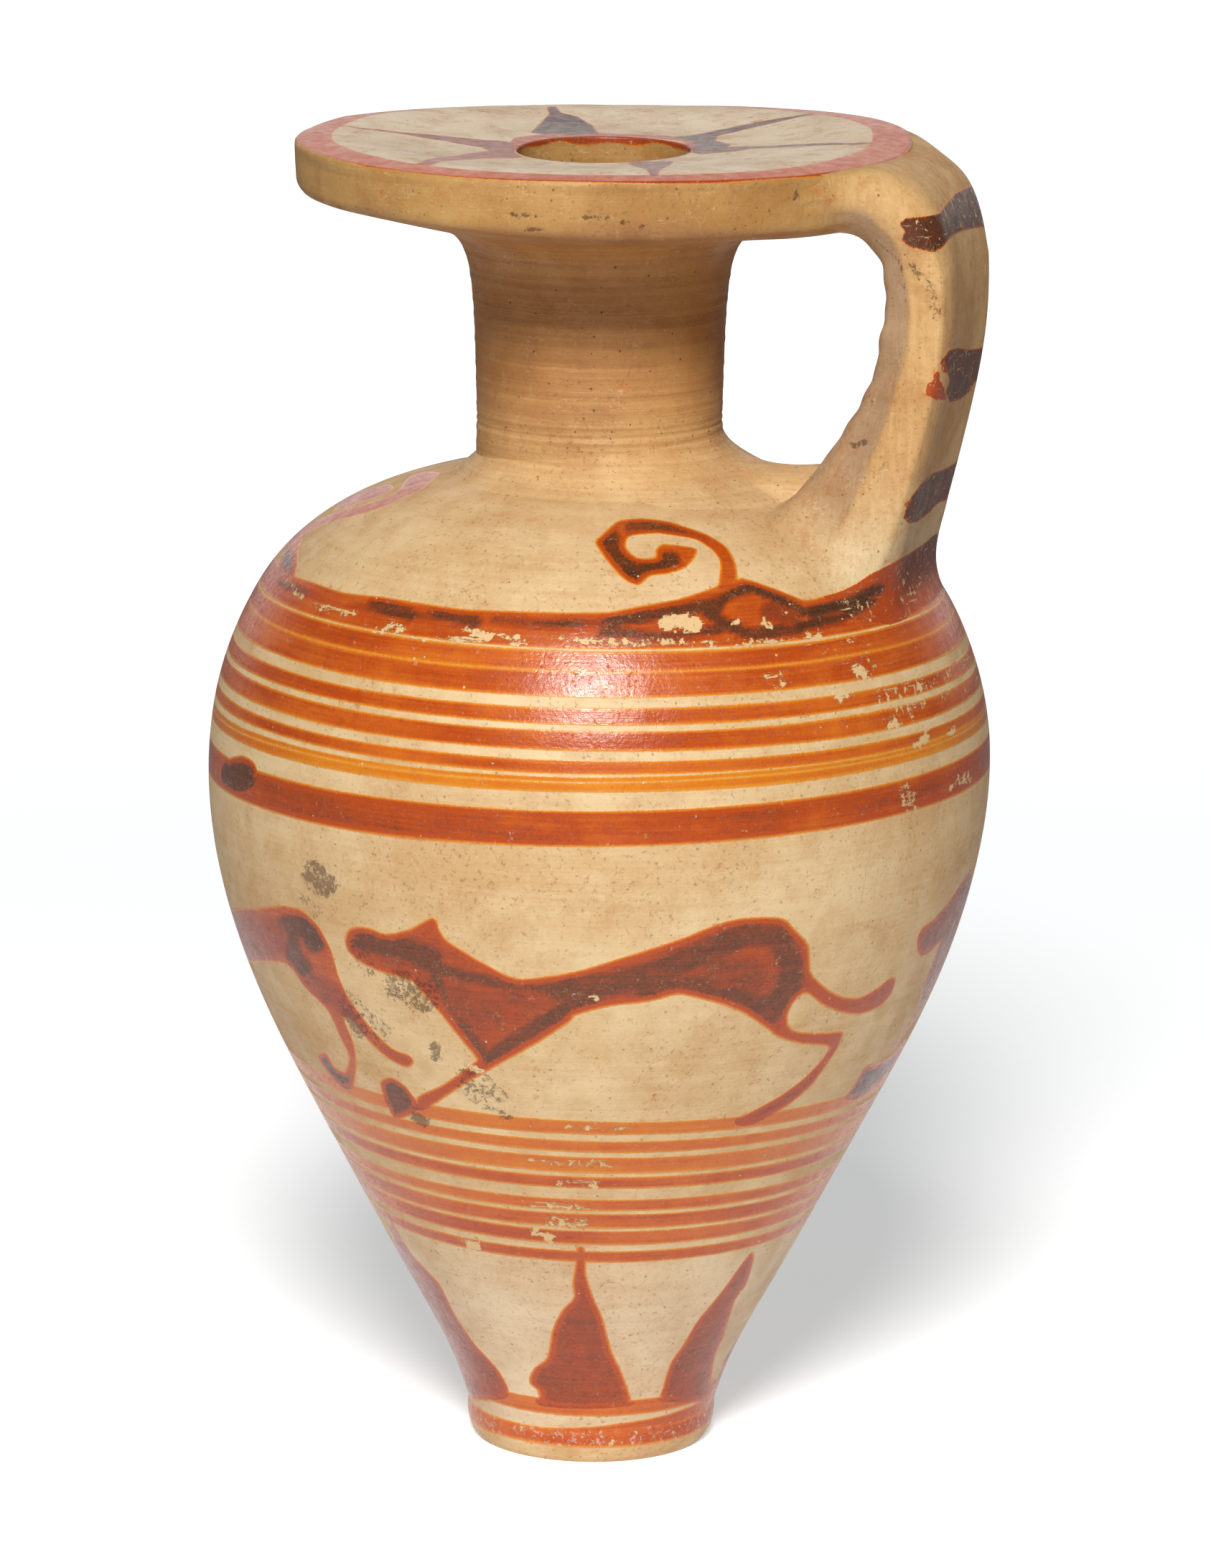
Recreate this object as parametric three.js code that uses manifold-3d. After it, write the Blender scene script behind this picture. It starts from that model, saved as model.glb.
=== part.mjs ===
// Miniature ovoid aryballos: a small fired-clay oil jar with a broad mouth disc and one strap handle.
// Millimetres, +Z up. The origin is the middle of the foot's underside and the handle lies towards +X.
// The potter throws foot, body, neck and disc, seats them face to face on the wheel's axis,
// and lutes the strap handle to the rim and to the shoulder with soft clay.
import * as THREE from 'three';
import { mergeVertices } from 'three/addons/utils/BufferGeometryUtils.js';
import Module from 'manifold-3d';

const wasm = await Module();
wasm.setup();

// Driving dimensions
const turnSegments = 60;
const lutingClearance = 0.3;
const overrun = 1;

const foot = { height: 2.1, topRadius: 7.05, baseRadius: 6.5, bevel: 0.8 };

const body = {
  height: 53.6,
  bellyRadius: 21.9,
  wall: 2.6,
  floor: 3.4,
  shoulderStep: 0.4,
  curveSteps: 24,
  // height above the foot as a share of the height, and radius as a share of the belly's
  outlineShares: [
    [0.035, 0.351], [0.129, 0.466], [0.297, 0.684], [0.483, 0.895], [0.595, 0.976], [0.688, 1.0],
    [0.772, 0.977], [0.838, 0.922], [0.894, 0.84], [0.94, 0.725], [0.972, 0.588],
  ],
};

const neck = {
  height: 13.3,
  bore: 9.6,
  baseRadius: 7.1,
  waistRadius: 6.86,
  topRadius: 8,
  // height above the seat as a share of the height, and the part of the flare reached there
  flareShares: [[0.42, 0], [0.76, 0.22], [0.93, 0.6]],
  curveSteps: 8,
};

const neckLuting = { height: 1.5, spread: 2.2, sag: 0.4, steps: 5 };

const disc = {
  radius: 17,
  height: 4.8,
  rimHeight: 2.8,
  dish: 0.35,
  mouthRound: 0.45,
  rimRound: 0.35,
  lowerRound: 1.2,
  lowerAngle: Math.PI / 3,
  lowerSteps: 4,
  rimSteps: 2,
};

const handle = {
  reach: 20.7,
  rootShare: 0.925,
  topWidth: 14.6,
  waistWidth: 11.8,
  rootWidth: 13,
  sectionPoints: 20,
  steps: 26,
  outerSquareness: 0.34,
  innerSquareness: 0.62,
  // distance from the axis as a share of the reach, and height as a share of the way
  // from the shoulder's root line to the disc's top; from the rim down to the shoulder
  outerShares: [
    [0.874, 0.973], [0.926, 0.926], [0.972, 0.846], [1.0, 0.715], [0.998, 0.579],
    [0.973, 0.421], [0.935, 0.262], [0.893, 0.105],
  ],
  innerShares: [
    [0.797, 0.817], [0.819, 0.765], [0.823, 0.69], [0.804, 0.557],
    [0.767, 0.448], [0.71, 0.339], [0.638, 0.24],
  ],
};

const topLuting = { reachIn: 4.2, under: 0.55, spread: 2.4 };
const rootLuting = { spread: 2.6, drop: 2.7, inward: 2.4, outward: 0.9, waistShare: 0.5 };

// Levels and radii that follow from them
const boreRadius = neck.bore / 2;
const seatZ = foot.height + body.height;
const discSeatZ = seatZ + neck.height;
const discTopZ = discSeatZ + disc.height;
const lutingFootRadius = neck.baseRadius + neckLuting.spread;
const lutingFootZ = seatZ - body.shoulderStep;
const lutingTopZ = seatZ + neckLuting.height;
const rootLineZ = foot.height + body.height * handle.rootShare;

const clay = { color: 0xcfa870, roughness: 0.8, metalness: 0 };
const bands = { color: 0xb5522a, roughness: 0.5, metalness: 0 };

const vec = (r, z) => new THREE.Vector2(r, z);

function material(finish) {
  return new THREE.MeshStandardMaterial(finish);
}

// Evenly spaced points along a smooth line through the given ones
function curvePoints(points, steps) {
  const path = points.map((p) => new THREE.Vector3(p.x, p.y, 0));
  const curve = new THREE.CatmullRomCurve3(path, false, 'centripetal');
  return curve.getSpacedPoints(steps).map((p) => vec(p.x, p.y));
}

// Quarter-round corner about a centre, from one angle to the other
function corner(centre, radius, from, to, steps) {
  return Array.from({ length: steps + 1 }, (_, i) => {
    const angle = from + ((to - from) * i) / steps;
    return vec(centre.x + radius * Math.cos(angle), centre.y + radius * Math.sin(angle));
  });
}

// Moves each point of an outline along the outline's own normal; a positive distance goes outwards
function offset(points, distance) {
  return points.map((point, i) => {
    const before = points[Math.max(i - 1, 0)];
    const after = points[Math.min(i + 1, points.length - 1)];
    const along = after.clone().sub(before).normalize();
    return vec(point.x + along.y * distance, point.y - along.x * distance);
  });
}

// Turns a closed outline, given counter-clockwise in the half plane, about the axis
function turn(outline) {
  const ring = [...outline, outline[0].clone()];
  const geometry = new THREE.LatheGeometry(ring, turnSegments);
  geometry.rotateX(Math.PI / 2);
  return closed(geometry);
}

// Keeps positions only and welds them, so that the surface is one closed body
function closed(geometry) {
  geometry.deleteAttribute('normal');
  geometry.deleteAttribute('uv');
  const welded = mergeVertices(geometry);
  const { array } = welded.index;
  const kept = [];
  for (let i = 0; i < array.length; i += 3) {
    const [a, b, c] = [array[i], array[i + 1], array[i + 2]];
    if (a !== b && b !== c && c !== a) kept.push(a, b, c);
  }
  welded.setIndex(kept);
  return welded;
}

function toSolid(geometry) {
  return new wasm.Manifold(new wasm.Mesh({
    numProp: 3,
    vertProperties: new Float32Array(geometry.attributes.position.array),
    triVerts: new Uint32Array(geometry.index.array),
  }));
}

function toGeometry(solid) {
  const mesh = solid.getMesh();
  const geometry = new THREE.BufferGeometry();
  geometry.setAttribute('position', new THREE.BufferAttribute(mesh.vertProperties, mesh.numProp));
  geometry.setIndex(new THREE.BufferAttribute(mesh.triVerts, 1));
  return geometry;
}

// Joins rings of equal point count into one closed skin with flat ends
function loft(rings) {
  const count = rings[0].length;
  const positions = rings.flat().flatMap((p) => [p.x, p.y, p.z]);
  const index = [];
  for (let ring = 0; ring + 1 < rings.length; ring += 1) {
    for (let i = 0; i < count; i += 1) {
      const next = (i + 1) % count;
      const [a, b] = [ring * count + i, ring * count + next];
      index.push(a, b, a + count, b, b + count, a + count);
    }
  }
  const last = (rings.length - 1) * count;
  for (let i = 1; i + 1 < count; i += 1) {
    index.push(0, i + 1, i);
    index.push(last, last + i, last + i + 1);
  }
  const geometry = new THREE.BufferGeometry();
  geometry.setAttribute('position', new THREE.Float32BufferAttribute(positions, 3));
  geometry.setIndex(index);
  return geometry;
}

// Foot: a low turned disc with a bevelled base edge
function footOutline() {
  return [
    vec(0, 0),
    vec(foot.baseRadius, 0),
    vec(foot.topRadius, foot.bevel),
    vec(foot.topRadius, foot.height),
    vec(0, foot.height),
  ];
}

// Body: the outer line from the foot to the neck's seat
function bodySkin() {
  const shaped = body.outlineShares.map(([heightShare, radiusShare]) => vec(
    body.bellyRadius * radiusShare,
    foot.height + body.height * heightShare,
  ));
  const ends = [vec(foot.topRadius, foot.height), vec(lutingFootRadius, lutingFootZ)];
  const curve = curvePoints([ends[0], ...shaped, ends[1]], body.curveSteps);
  return [...curve, vec(neck.baseRadius, seatZ)];
}

// Body: the wall inside, clear of the floor and drawn in to the bore
function bodyLining(skin) {
  const floorZ = foot.height + body.floor;
  const lining = offset(skin, -body.wall)
    .filter((p) => p.y > floorZ + body.wall / 2 && p.x > boreRadius + body.wall / 2);
  const lowest = lining[0];
  const highest = lining[lining.length - 1];
  return [
    vec(0, floorZ),
    vec(lowest.x / 2, floorZ + (lowest.y - floorZ) / 4),
    ...lining,
    vec(boreRadius, Math.min(highest.y + body.wall / 4, seatZ - body.wall / 2)),
    vec(boreRadius, seatZ),
  ];
}

function bodyOutline() {
  const skin = bodySkin();
  return [vec(0, foot.height), ...skin, ...bodyLining(skin).reverse()];
}

// Neck: a tube with a slight waist that flares under the disc
function neckSkin() {
  const flare = neck.topRadius - neck.waistRadius;
  const upper = curvePoints([
    vec(neck.waistRadius, lutingTopZ),
    ...neck.flareShares.map(([heightShare, flareShare]) => vec(
      neck.waistRadius + flare * flareShare,
      seatZ + neck.height * heightShare,
    )),
    vec(neck.topRadius, discSeatZ),
  ], neck.curveSteps);
  return [vec(neck.baseRadius, seatZ), ...upper];
}

function neckOutline() {
  return [vec(boreRadius, seatZ), ...neckSkin(), vec(boreRadius, discSeatZ)];
}

// Neck luting: a fillet of clay in the corner between shoulder and neck
function neckLutingOutline() {
  const [low, high] = [vec(lutingFootRadius, lutingFootZ), vec(neck.waistRadius, lutingTopZ)];
  const fillet = Array.from({ length: neckLuting.steps + 1 }, (_, i) => {
    const share = i / neckLuting.steps;
    const sag = neckLuting.sag * Math.sin(Math.PI * share);
    return low.clone().lerp(high, share).sub(vec(sag, sag));
  });
  return [vec(neck.baseRadius, seatZ), ...fillet];
}

// Mouth disc: dished top, rounded rim and an underside that falls to the neck. The grown outline
// is larger all round by a gap, and cuts what is luted to the rim.
function discOutline(gap = 0) {
  const rimTop = discTopZ + gap;
  const rimRadius = disc.radius + gap;
  const lowerZ = discTopZ - disc.rimHeight - gap;
  const mouthZ = discTopZ - disc.dish;
  const top = [vec(boreRadius + disc.mouthRound, mouthZ + gap), vec(boreRadius, mouthZ - disc.mouthRound)];
  return [
    vec(boreRadius, discSeatZ - gap),
    vec(neck.topRadius, discSeatZ - gap),
    ...corner(
      vec(rimRadius - disc.lowerRound, lowerZ + disc.lowerRound),
      disc.lowerRound, -disc.lowerAngle, 0, disc.lowerSteps,
    ),
    ...corner(
      vec(rimRadius - disc.rimRound, rimTop - disc.rimRound),
      disc.rimRound, 0, Math.PI / 2, disc.rimSteps,
    ),
    ...top,
  ];
}

// Handle: points of the side outlines, in the upright plane through the axis
function sidePoint([radialShare, heightShare]) {
  return vec(handle.reach * radialShare, rootLineZ + (discTopZ - rootLineZ) * heightShare);
}

const outerLine = handle.outerShares.map(sidePoint);
const innerLine = handle.innerShares.map(sidePoint);

// A strap section between an outer and an inner point: nearly square outside, rounder inside
function strapSection(outer, inner, width) {
  const centre = outer.clone().add(inner).multiplyScalar(0.5);
  const half = outer.clone().sub(inner).multiplyScalar(0.5);
  return Array.from({ length: handle.sectionPoints }, (_, i) => {
    const angle = (2 * Math.PI * (i + 0.5)) / handle.sectionPoints;
    const [c, s] = [Math.cos(angle), Math.sin(angle)];
    const squareness = s > 0 ? handle.outerSquareness : handle.innerSquareness;
    const across = Math.sign(c) * Math.abs(c) ** squareness * (width / 2);
    const through = Math.sign(s) * Math.abs(s) ** squareness;
    return new THREE.Vector3(centre.x + half.x * through, across, centre.y + half.y * through);
  });
}

function strapWidth(share) {
  const widths = new THREE.SplineCurve([
    vec(0, handle.topWidth),
    vec(0.5, handle.waistWidth),
    vec(1, handle.rootWidth),
  ]);
  return widths.getPoint(share).y;
}

function handleRings() {
  const outer = curvePoints(outerLine, handle.steps);
  const inner = curvePoints(innerLine, handle.steps);
  return outer.map((point, i) => strapSection(point, inner[i], strapWidth(i / handle.steps)));
}

// Clay pressed between the rim and the strap's upper end
function topLutingSolid() {
  const [outer, inner] = [outerLine[0], innerLine[0]];
  const inward = vec(outer.x - topLuting.reachIn, discTopZ - disc.rimRound);
  const under = vec(inner.x - topLuting.reachIn, inner.y + topLuting.under);
  const rings = [
    strapSection(inward, under, handle.topWidth + 2 * topLuting.spread),
    strapSection(outer, inner, handle.topWidth),
  ];
  return toSolid(loft(rings)).subtract(toSolid(turn(discOutline(lutingClearance))));
}

// Clay spread from the strap's lower end over the shoulder
function rootLutingSolid() {
  const outer = outerLine[outerLine.length - 1];
  const inner = innerLine[innerLine.length - 1];
  const fall = inner.clone().sub(outer).normalize().rotateAround(vec(0, 0), Math.PI / 2);
  const step = (share) => {
    const sink = rootLuting.drop * share;
    const along = inner.clone().sub(outer).normalize();
    const out = outer.clone().addScaledVector(fall, sink);
    const back = inner.clone().addScaledVector(fall, sink);
    out.addScaledVector(along, -rootLuting.outward * share);
    back.addScaledVector(along, rootLuting.inward * share * share);
    return strapSection(out, back, handle.rootWidth + 2 * rootLuting.spread * share * share);
  };
  const grown = [vec(0, foot.height), ...offset(bodySkin(), lutingClearance), vec(0, seatZ + overrun)];
  const rings = [step(0), step(rootLuting.waistShare), step(1)];
  return toSolid(loft(rings)).subtract(toSolid(turn(grown)));
}

const aryballos = new THREE.Group();

function add(name, geometry, finish) {
  const piece = new THREE.Mesh(geometry, material(finish));
  piece.name = name;
  aryballos.add(piece);
}

add('foot', turn(footOutline()), bands);
add('body', turn(bodyOutline()), clay);
add('neck', turn(neckOutline()), clay);
add('neck_luting', turn(neckLutingOutline()), clay);
add('mouth_disc', turn(discOutline()), clay);
add('handle', loft(handleRings()), clay);
add('handle_top_luting', toGeometry(topLutingSolid()), clay);
add('handle_root_luting', toGeometry(rootLutingSolid()), clay);

export default aryballos;
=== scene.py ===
import math

import bpy
import numpy as np
from mathutils import Matrix, Vector
from mathutils.bvhtree import BVHTree

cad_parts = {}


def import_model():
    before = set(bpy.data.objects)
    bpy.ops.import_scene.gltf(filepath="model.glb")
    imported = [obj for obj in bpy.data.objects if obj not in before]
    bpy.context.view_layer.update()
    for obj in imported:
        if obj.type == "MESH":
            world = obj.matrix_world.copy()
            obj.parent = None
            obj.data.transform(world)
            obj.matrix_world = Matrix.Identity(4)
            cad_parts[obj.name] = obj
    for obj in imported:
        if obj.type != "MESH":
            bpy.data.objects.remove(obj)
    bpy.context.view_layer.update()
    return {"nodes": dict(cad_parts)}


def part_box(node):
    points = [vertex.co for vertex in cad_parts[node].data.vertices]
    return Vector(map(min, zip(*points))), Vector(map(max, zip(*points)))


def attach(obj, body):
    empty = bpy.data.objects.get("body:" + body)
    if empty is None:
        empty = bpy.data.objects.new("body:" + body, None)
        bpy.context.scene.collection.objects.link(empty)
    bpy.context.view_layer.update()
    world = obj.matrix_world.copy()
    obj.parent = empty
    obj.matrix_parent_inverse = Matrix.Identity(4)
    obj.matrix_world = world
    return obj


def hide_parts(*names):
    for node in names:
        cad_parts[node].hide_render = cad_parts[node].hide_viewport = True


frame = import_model()
mm = 0.001  # sizes below are millimetres and angles degrees; meshes are made in metres
print("frame loaded:", len(frame["nodes"]), "nodes")


def nodeBox(name):
    low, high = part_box(name)
    return np.array(low) / mm, np.array(high) / mm


footHigh = nodeBox("foot")[1]
bodyHigh = nodeBox("body")[1]
neckLow, neckHigh = nodeBox("neck")
discLow, discHigh = nodeBox("mouth_disc")
lutingLow, lutingHigh = nodeBox("neck_luting")
strapHigh = nodeBox("handle")[1]

# The camera stands where the photograph was taken from
photo = {"width": 1687, "height": 2184}
camera = {
    "distance": 400.0,  # level, from the jar's axis
    "height": 124.6,
    "turn": 15.5,  # how far the handle is turned towards it
    "downTilt": 12.26,
    "roll": 0.66,
    "focalPixels": 10162.0,
    "axisShift": 11.3,  # pixels that the axis stands left of the picture's middle
    "sensor": 36.0,
    # pixels are cast on to the jar from so far before its axis to so far behind it
    "castRange": (30.0, 60.0), "castSteps": 3000,
}


def cameraAxes():
    turn, tilt, roll = (math.radians(camera[k]) for k in ("turn", "downTilt", "roll"))
    level = np.array([math.cos(turn), math.sin(turn), 0])
    ahead = np.array([
        -math.sin(turn) * math.cos(tilt), math.cos(turn) * math.cos(tilt), -math.sin(tilt)])
    upright = np.cross(level, ahead)
    right = level * math.cos(roll) + upright * math.sin(roll)
    up = upright * math.cos(roll) - level * math.sin(roll)
    reach = camera["distance"]
    eye = np.array([reach * math.sin(turn), -reach * math.cos(turn), camera["height"]])
    return eye, right, up, ahead


eye, camRight, camUp, camAhead = cameraAxes()


def pixelRay(u, v):
    across = (u - photo["width"] / 2 + camera["axisShift"]) / camera["focalPixels"]
    down = (v - photo["height"] / 2) / camera["focalPixels"]
    ray = camAhead + camRight * across - camUp * down
    return ray / np.linalg.norm(ray)


def toPixels(points):
    away = points - eye
    depth = away @ camAhead
    u = photo["width"] / 2 - camera["axisShift"] + camera["focalPixels"] * (away @ camRight) / depth
    v = photo["height"] / 2 - camera["focalPixels"] * (away @ camUp) / depth
    return np.stack([u, v], 1)


def placeCamera():
    data = bpy.data.cameras.new("photoCamera")
    data.lens = camera["sensor"] * camera["focalPixels"] / photo["height"]
    data.sensor_width = camera["sensor"]
    data.shift_x = camera["axisShift"] / photo["height"]
    holder = bpy.data.objects.new("photoCamera", data)
    columns = [camRight, camUp, -camAhead, eye * mm]
    holder.matrix_world = Matrix([[c[row] for c in columns] for row in range(3)] + [[0, 0, 0, 1]])
    bpy.context.scene.collection.objects.link(holder)
    bpy.context.scene.camera = holder


placeCamera()
bpy.context.scene.view_settings.view_transform = "Standard"
pixelSize = camera["distance"] / camera["focalPixels"]  # of a pixel at the jar
facing = -90 + camera["turn"]  # the angle about the axis that looks at the camera
print("camera placed")


# Numbers, lines, rings and meshes

def ramp(value, start, end):
    # 0 up to the start and 1 from the end on
    return np.clip((value - start) / (end - start), 0, 1)


def follow(table, at, column=1):
    # reads a table's column where its first one, which rises, has this value
    table = np.array(table, float)
    return np.interp(at, table[:, 0], table[:, column])


def radiusOf(points):
    return np.hypot(points[:, 0], points[:, 1])


def angleOf(points):
    return np.degrees(np.arctan2(points[:, 1], points[:, 0]))


def wrapped(angle):
    return (angle + 180) % 360 - 180


def facesCamera(points, limit):
    return np.abs(wrapped(angleOf(points) - facing)) < limit


def bezier(a, b, c, d, t):
    return a * (1 - t) ** 3 + 3 * b * t * (1 - t) ** 2 + 3 * c * t * t * (1 - t) + d * t ** 3


def spline(points, count):
    # natural cubic line through the points, in evenly spaced steps
    points = np.array(points, float)
    along = np.concatenate([[0], np.cumsum(np.linalg.norm(np.diff(points, axis=0), axis=1))])
    gap = np.diff(along)
    size = len(points)
    left = np.eye(size)
    right = np.zeros_like(points)
    for i in range(1, size - 1):
        left[i, i - 1:i + 2] = gap[i - 1], 2 * (gap[i - 1] + gap[i]), gap[i]
        slopes = (points[i + 1] - points[i]) / gap[i] - (points[i] - points[i - 1]) / gap[i - 1]
        right[i] = 6 * slopes
    bend = np.linalg.solve(left, right)
    at = np.linspace(0, along[-1], count)
    i = np.clip(np.searchsorted(along, at) - 1, 0, size - 2)
    a, b, h = (along[i + 1] - at)[:, None], (at - along[i])[:, None], gap[i][:, None]
    return (
        bend[i] * a ** 3 / (6 * h) + bend[i + 1] * b ** 3 / (6 * h)
        + (points[i] / h - bend[i] * h / 6) * a + (points[i + 1] / h - bend[i + 1] * h / 6) * b)


def spaced(line, gap):
    # walks a fine line in steps of one length, or of what gap() says at each of its points
    steps = np.linalg.norm(np.diff(line, axis=0), axis=1)
    gaps = gap((line[1:] + line[:-1]) / 2) if callable(gap) else gap
    travelled = np.concatenate([[0], np.cumsum(steps / gaps)])
    at = np.linspace(0, travelled[-1], int(round(travelled[-1])) + 1)
    return np.stack([np.interp(at, travelled, column) for column in line.T], 1)


def arc(centre, radius, start, end, count):
    turn = np.radians(np.linspace(start, end, count))
    return np.stack([centre[0] + radius * np.cos(turn), centre[1] + radius * np.sin(turn)], 1)


def ring(radius, height, columns):
    turn = np.arange(columns) * 2 * math.pi / columns
    radius, height = np.broadcast_to(radius, columns), np.broadcast_to(height, columns)
    return np.stack([radius * np.cos(turn), radius * np.sin(turn), height], 1)


def turnedRings(outline, columns):
    # a ring for each point of the outline, and a single point on the axis
    return [ring(r, z, columns) if r > 0 else np.array([[0.0, 0.0, z]]) for r, z in outline]


def bridge(a, countA, b, countB):
    # faces between two rings, whose counts may differ by a whole factor
    if countA == countB:
        i = np.arange(countA)
        j = (i + 1) % countA
        return np.stack([a + i, a + j, b + j, b + i], 1).tolist()
    if countA == 1:
        return [(a, b + (i + 1) % countB, b + i) for i in range(countB)]
    if countB == 1:
        return [(a + i, a + (i + 1) % countA, b) for i in range(countA)]
    faces = []
    fine, coarse = max(countA, countB), min(countA, countB)
    share = fine // coarse
    fineStart, coarseStart = (a, b) if countA > countB else (b, a)
    for j in range(coarse):
        here, after = coarseStart + j, coarseStart + (j + 1) % coarse
        edge = [fineStart + (j * share + m) % fine for m in range(share + 1)]
        for m in range(share):
            apex = here if m < share / 2 else after
            faces.append((edge[m], edge[m + 1], apex))
        faces.append((edge[(share + 1) // 2], after, here))
    return faces if countA > countB else [face[::-1] for face in faces]


def skin(name, rings, closedLoop=False, sharpRings=()):
    # joins the rings into one closed mesh; a loop's last ring meets its first one again
    counts = [len(r) for r in rings]
    starts = np.concatenate([[0], np.cumsum(counts)]).astype(int)
    faces = []
    for i in range(len(rings) - (0 if closedLoop else 1)):
        j = (i + 1) % len(rings)
        faces += bridge(int(starts[i]), counts[i], int(starts[j]), counts[j])
    if not closedLoop and counts[0] > 1:
        faces.append(tuple(range(counts[0]))[::-1])
    if not closedLoop and counts[-1] > 1:
        faces.append(tuple(int(starts[-2]) + i for i in range(counts[-1])))
    mesh = bpy.data.meshes.new(name)
    points = np.concatenate(rings)
    mesh.from_pydata((points * mm).tolist(), [], faces)
    mesh.shade_smooth()
    if sharpRings:
        ringOf = np.repeat(np.arange(len(rings)), counts)
        wanted = np.isin(ringOf, [r % len(rings) for r in sharpRings])
        edges = np.zeros(len(mesh.edges) * 2, int)
        mesh.edges.foreach_get("vertices", edges)
        edges = edges.reshape(-1, 2)
        sharp = wanted[edges[:, 0]] & (ringOf[edges[:, 0]] == ringOf[edges[:, 1]])
        mesh.edges.foreach_set("use_edge_sharp", sharp)
    return mesh, points


def record(mesh, **layers):
    # numbers at the mesh's points, which its material reads by name
    for name, values in layers.items():
        values = np.broadcast_to(values, len(mesh.vertices)).astype(np.float32)
        mesh.attributes.new(name, "FLOAT", "POINT").data.foreach_set("value", values)


def keep(mesh, material, node):
    piece = bpy.data.objects.new(mesh.name, mesh)
    bpy.context.scene.collection.objects.link(piece)
    mesh.materials.append(material)
    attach(piece, "root")
    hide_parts(node)
    print("made", mesh.name, len(mesh.polygons), "faces")


# Slow departures from true round, shared by all pieces so that their seams stay shut
handMade = {
    "waves": 14, "longest": 0.11, "shortest": 0.35, "size": 0.02, "seed": 11,
    # how far the jar leans to the camera's right at each height
    "lean": [(0, 0), (26, -0.03), (31, 0), (34, 0.04), (37, 0.11), (41, 0.19), (48, 0.22), (52, 0.12),
             (54, 0.03), (57, -0.13), (68, -0.13), (72, 0)],
    # between these heights the lean draws back to the middle, and ends between these radii
    "leanAbove": (53.0, 55.0), "leanWithin": (9.0, 13.0),
}


def handWaves():
    random = np.random.default_rng(handMade["seed"])
    direction = random.normal(size=(handMade["waves"], 3))
    direction /= np.linalg.norm(direction, axis=1)[:, None]
    pace = random.uniform(handMade["longest"], handMade["shortest"], handMade["waves"])
    return direction * pace[:, None], random.uniform(0, 2 * math.pi, (handMade["waves"], 3))


wavePace, wavePhase = handWaves()


def handThrown(points):
    phase = points @ wavePace.T
    shift = np.stack([np.sin(phase + wavePhase[:, k]).sum(1) for k in range(3)], 1)
    grounded = ramp(points[:, 2:], 0, footHigh[2])  # the foot's underside stays level
    outside = ramp(radiusOf(points), *handMade["leanWithin"]) * ramp(points[:, 2], *handMade["leanAbove"])
    lean = follow(handMade["lean"], points[:, 2]) * (1 - outside)
    return points + shift * handMade["size"] * grounded + camRight * lean[:, None]


def shaped(rings, extra=None):
    return [handThrown(extra(r) if extra else r) for r in rings]


# The body's outer line, as shares of its height and of the belly's radius
body = {
    "outlineShares": [
        (0.035, 0.351), (0.129, 0.466), (0.297, 0.684), (0.483, 0.895), (0.595, 0.973),
        (0.688, 0.9965), (0.772, 0.974), (0.838, 0.919), (0.894, 0.84), (0.94, 0.725), (0.972, 0.588)],
    "outlineSteps": 1400, "columns": 448, "innerColumns": 112,
    # the mesh is finest where the figures are
    "friezeLow": 19.0, "friezeHigh": 38.5, "friezeGap": 0.21,
    "shoulderLow": 46.0, "shoulderGap": 0.27, "plainGap": 0.42,
    "wall": 2.6, "floor": 3.4, "bore": 4.8, "paintedWall": 1.2,
    # the lining follows the wall in steps, and is rounded off at the floor and under the bore
    "liningSteps": 34, "liningEvery": 90, "floorFlat": 0.8, "floorShare": 0.6, "floorRise": 0.5,
    "boreMargin": 0.6, "boreRise": 0.3,
    # the opening that the neck stands in, as a share of the neck's radius, and the gap under the neck
    "opening": 0.86, "seam": 0.02,
}


def bodyLine():
    height = bodyHigh[2] - footHigh[2]
    return spline([
        (footHigh[0], footHigh[2]),
        *[(bodyHigh[0] * r, footHigh[2] + height * h) for h, r in body["outlineShares"]],
        (lutingHigh[0], lutingLow[2]), (neckHigh[0] * body["opening"], neckLow[2] - body["seam"]),
    ], body["outlineSteps"])


bodyFine = bodyLine()


def bodyRadius(height):
    return np.interp(height, bodyFine[:, 1], bodyFine[:, 0])


def shoulderHeight(radius):
    return follow(bodyFine[bodyFine[:, 0].argmax():][::-1], radius)


def onBody(u, v):
    # where a pixel of the photograph meets the body, or comes nearest: angle about the axis, and height
    before, behind = camera["castRange"]
    away = np.linspace(camera["distance"] - before, camera["distance"] + behind, camera["castSteps"])
    points = eye + away[:, None] * pixelRay(u, v)
    depth = radiusOf(points) - bodyRadius(points[:, 2])
    depth[(points[:, 2] < footHigh[2]) | (points[:, 2] > bodyHigh[2])] = np.inf
    inside = np.nonzero(depth < 0)[0]
    hit = points[inside[0] if len(inside) else int(np.argmin(depth))]
    return math.degrees(math.atan2(hit[1], hit[0])), hit[2]


def bodyPoint(angle, height):
    turn = np.radians(angle)
    radius = bodyRadius(height)
    return np.stack([radius * np.cos(turn), radius * np.sin(turn), height * np.ones_like(radius)], -1)


print("lines ready")


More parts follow.
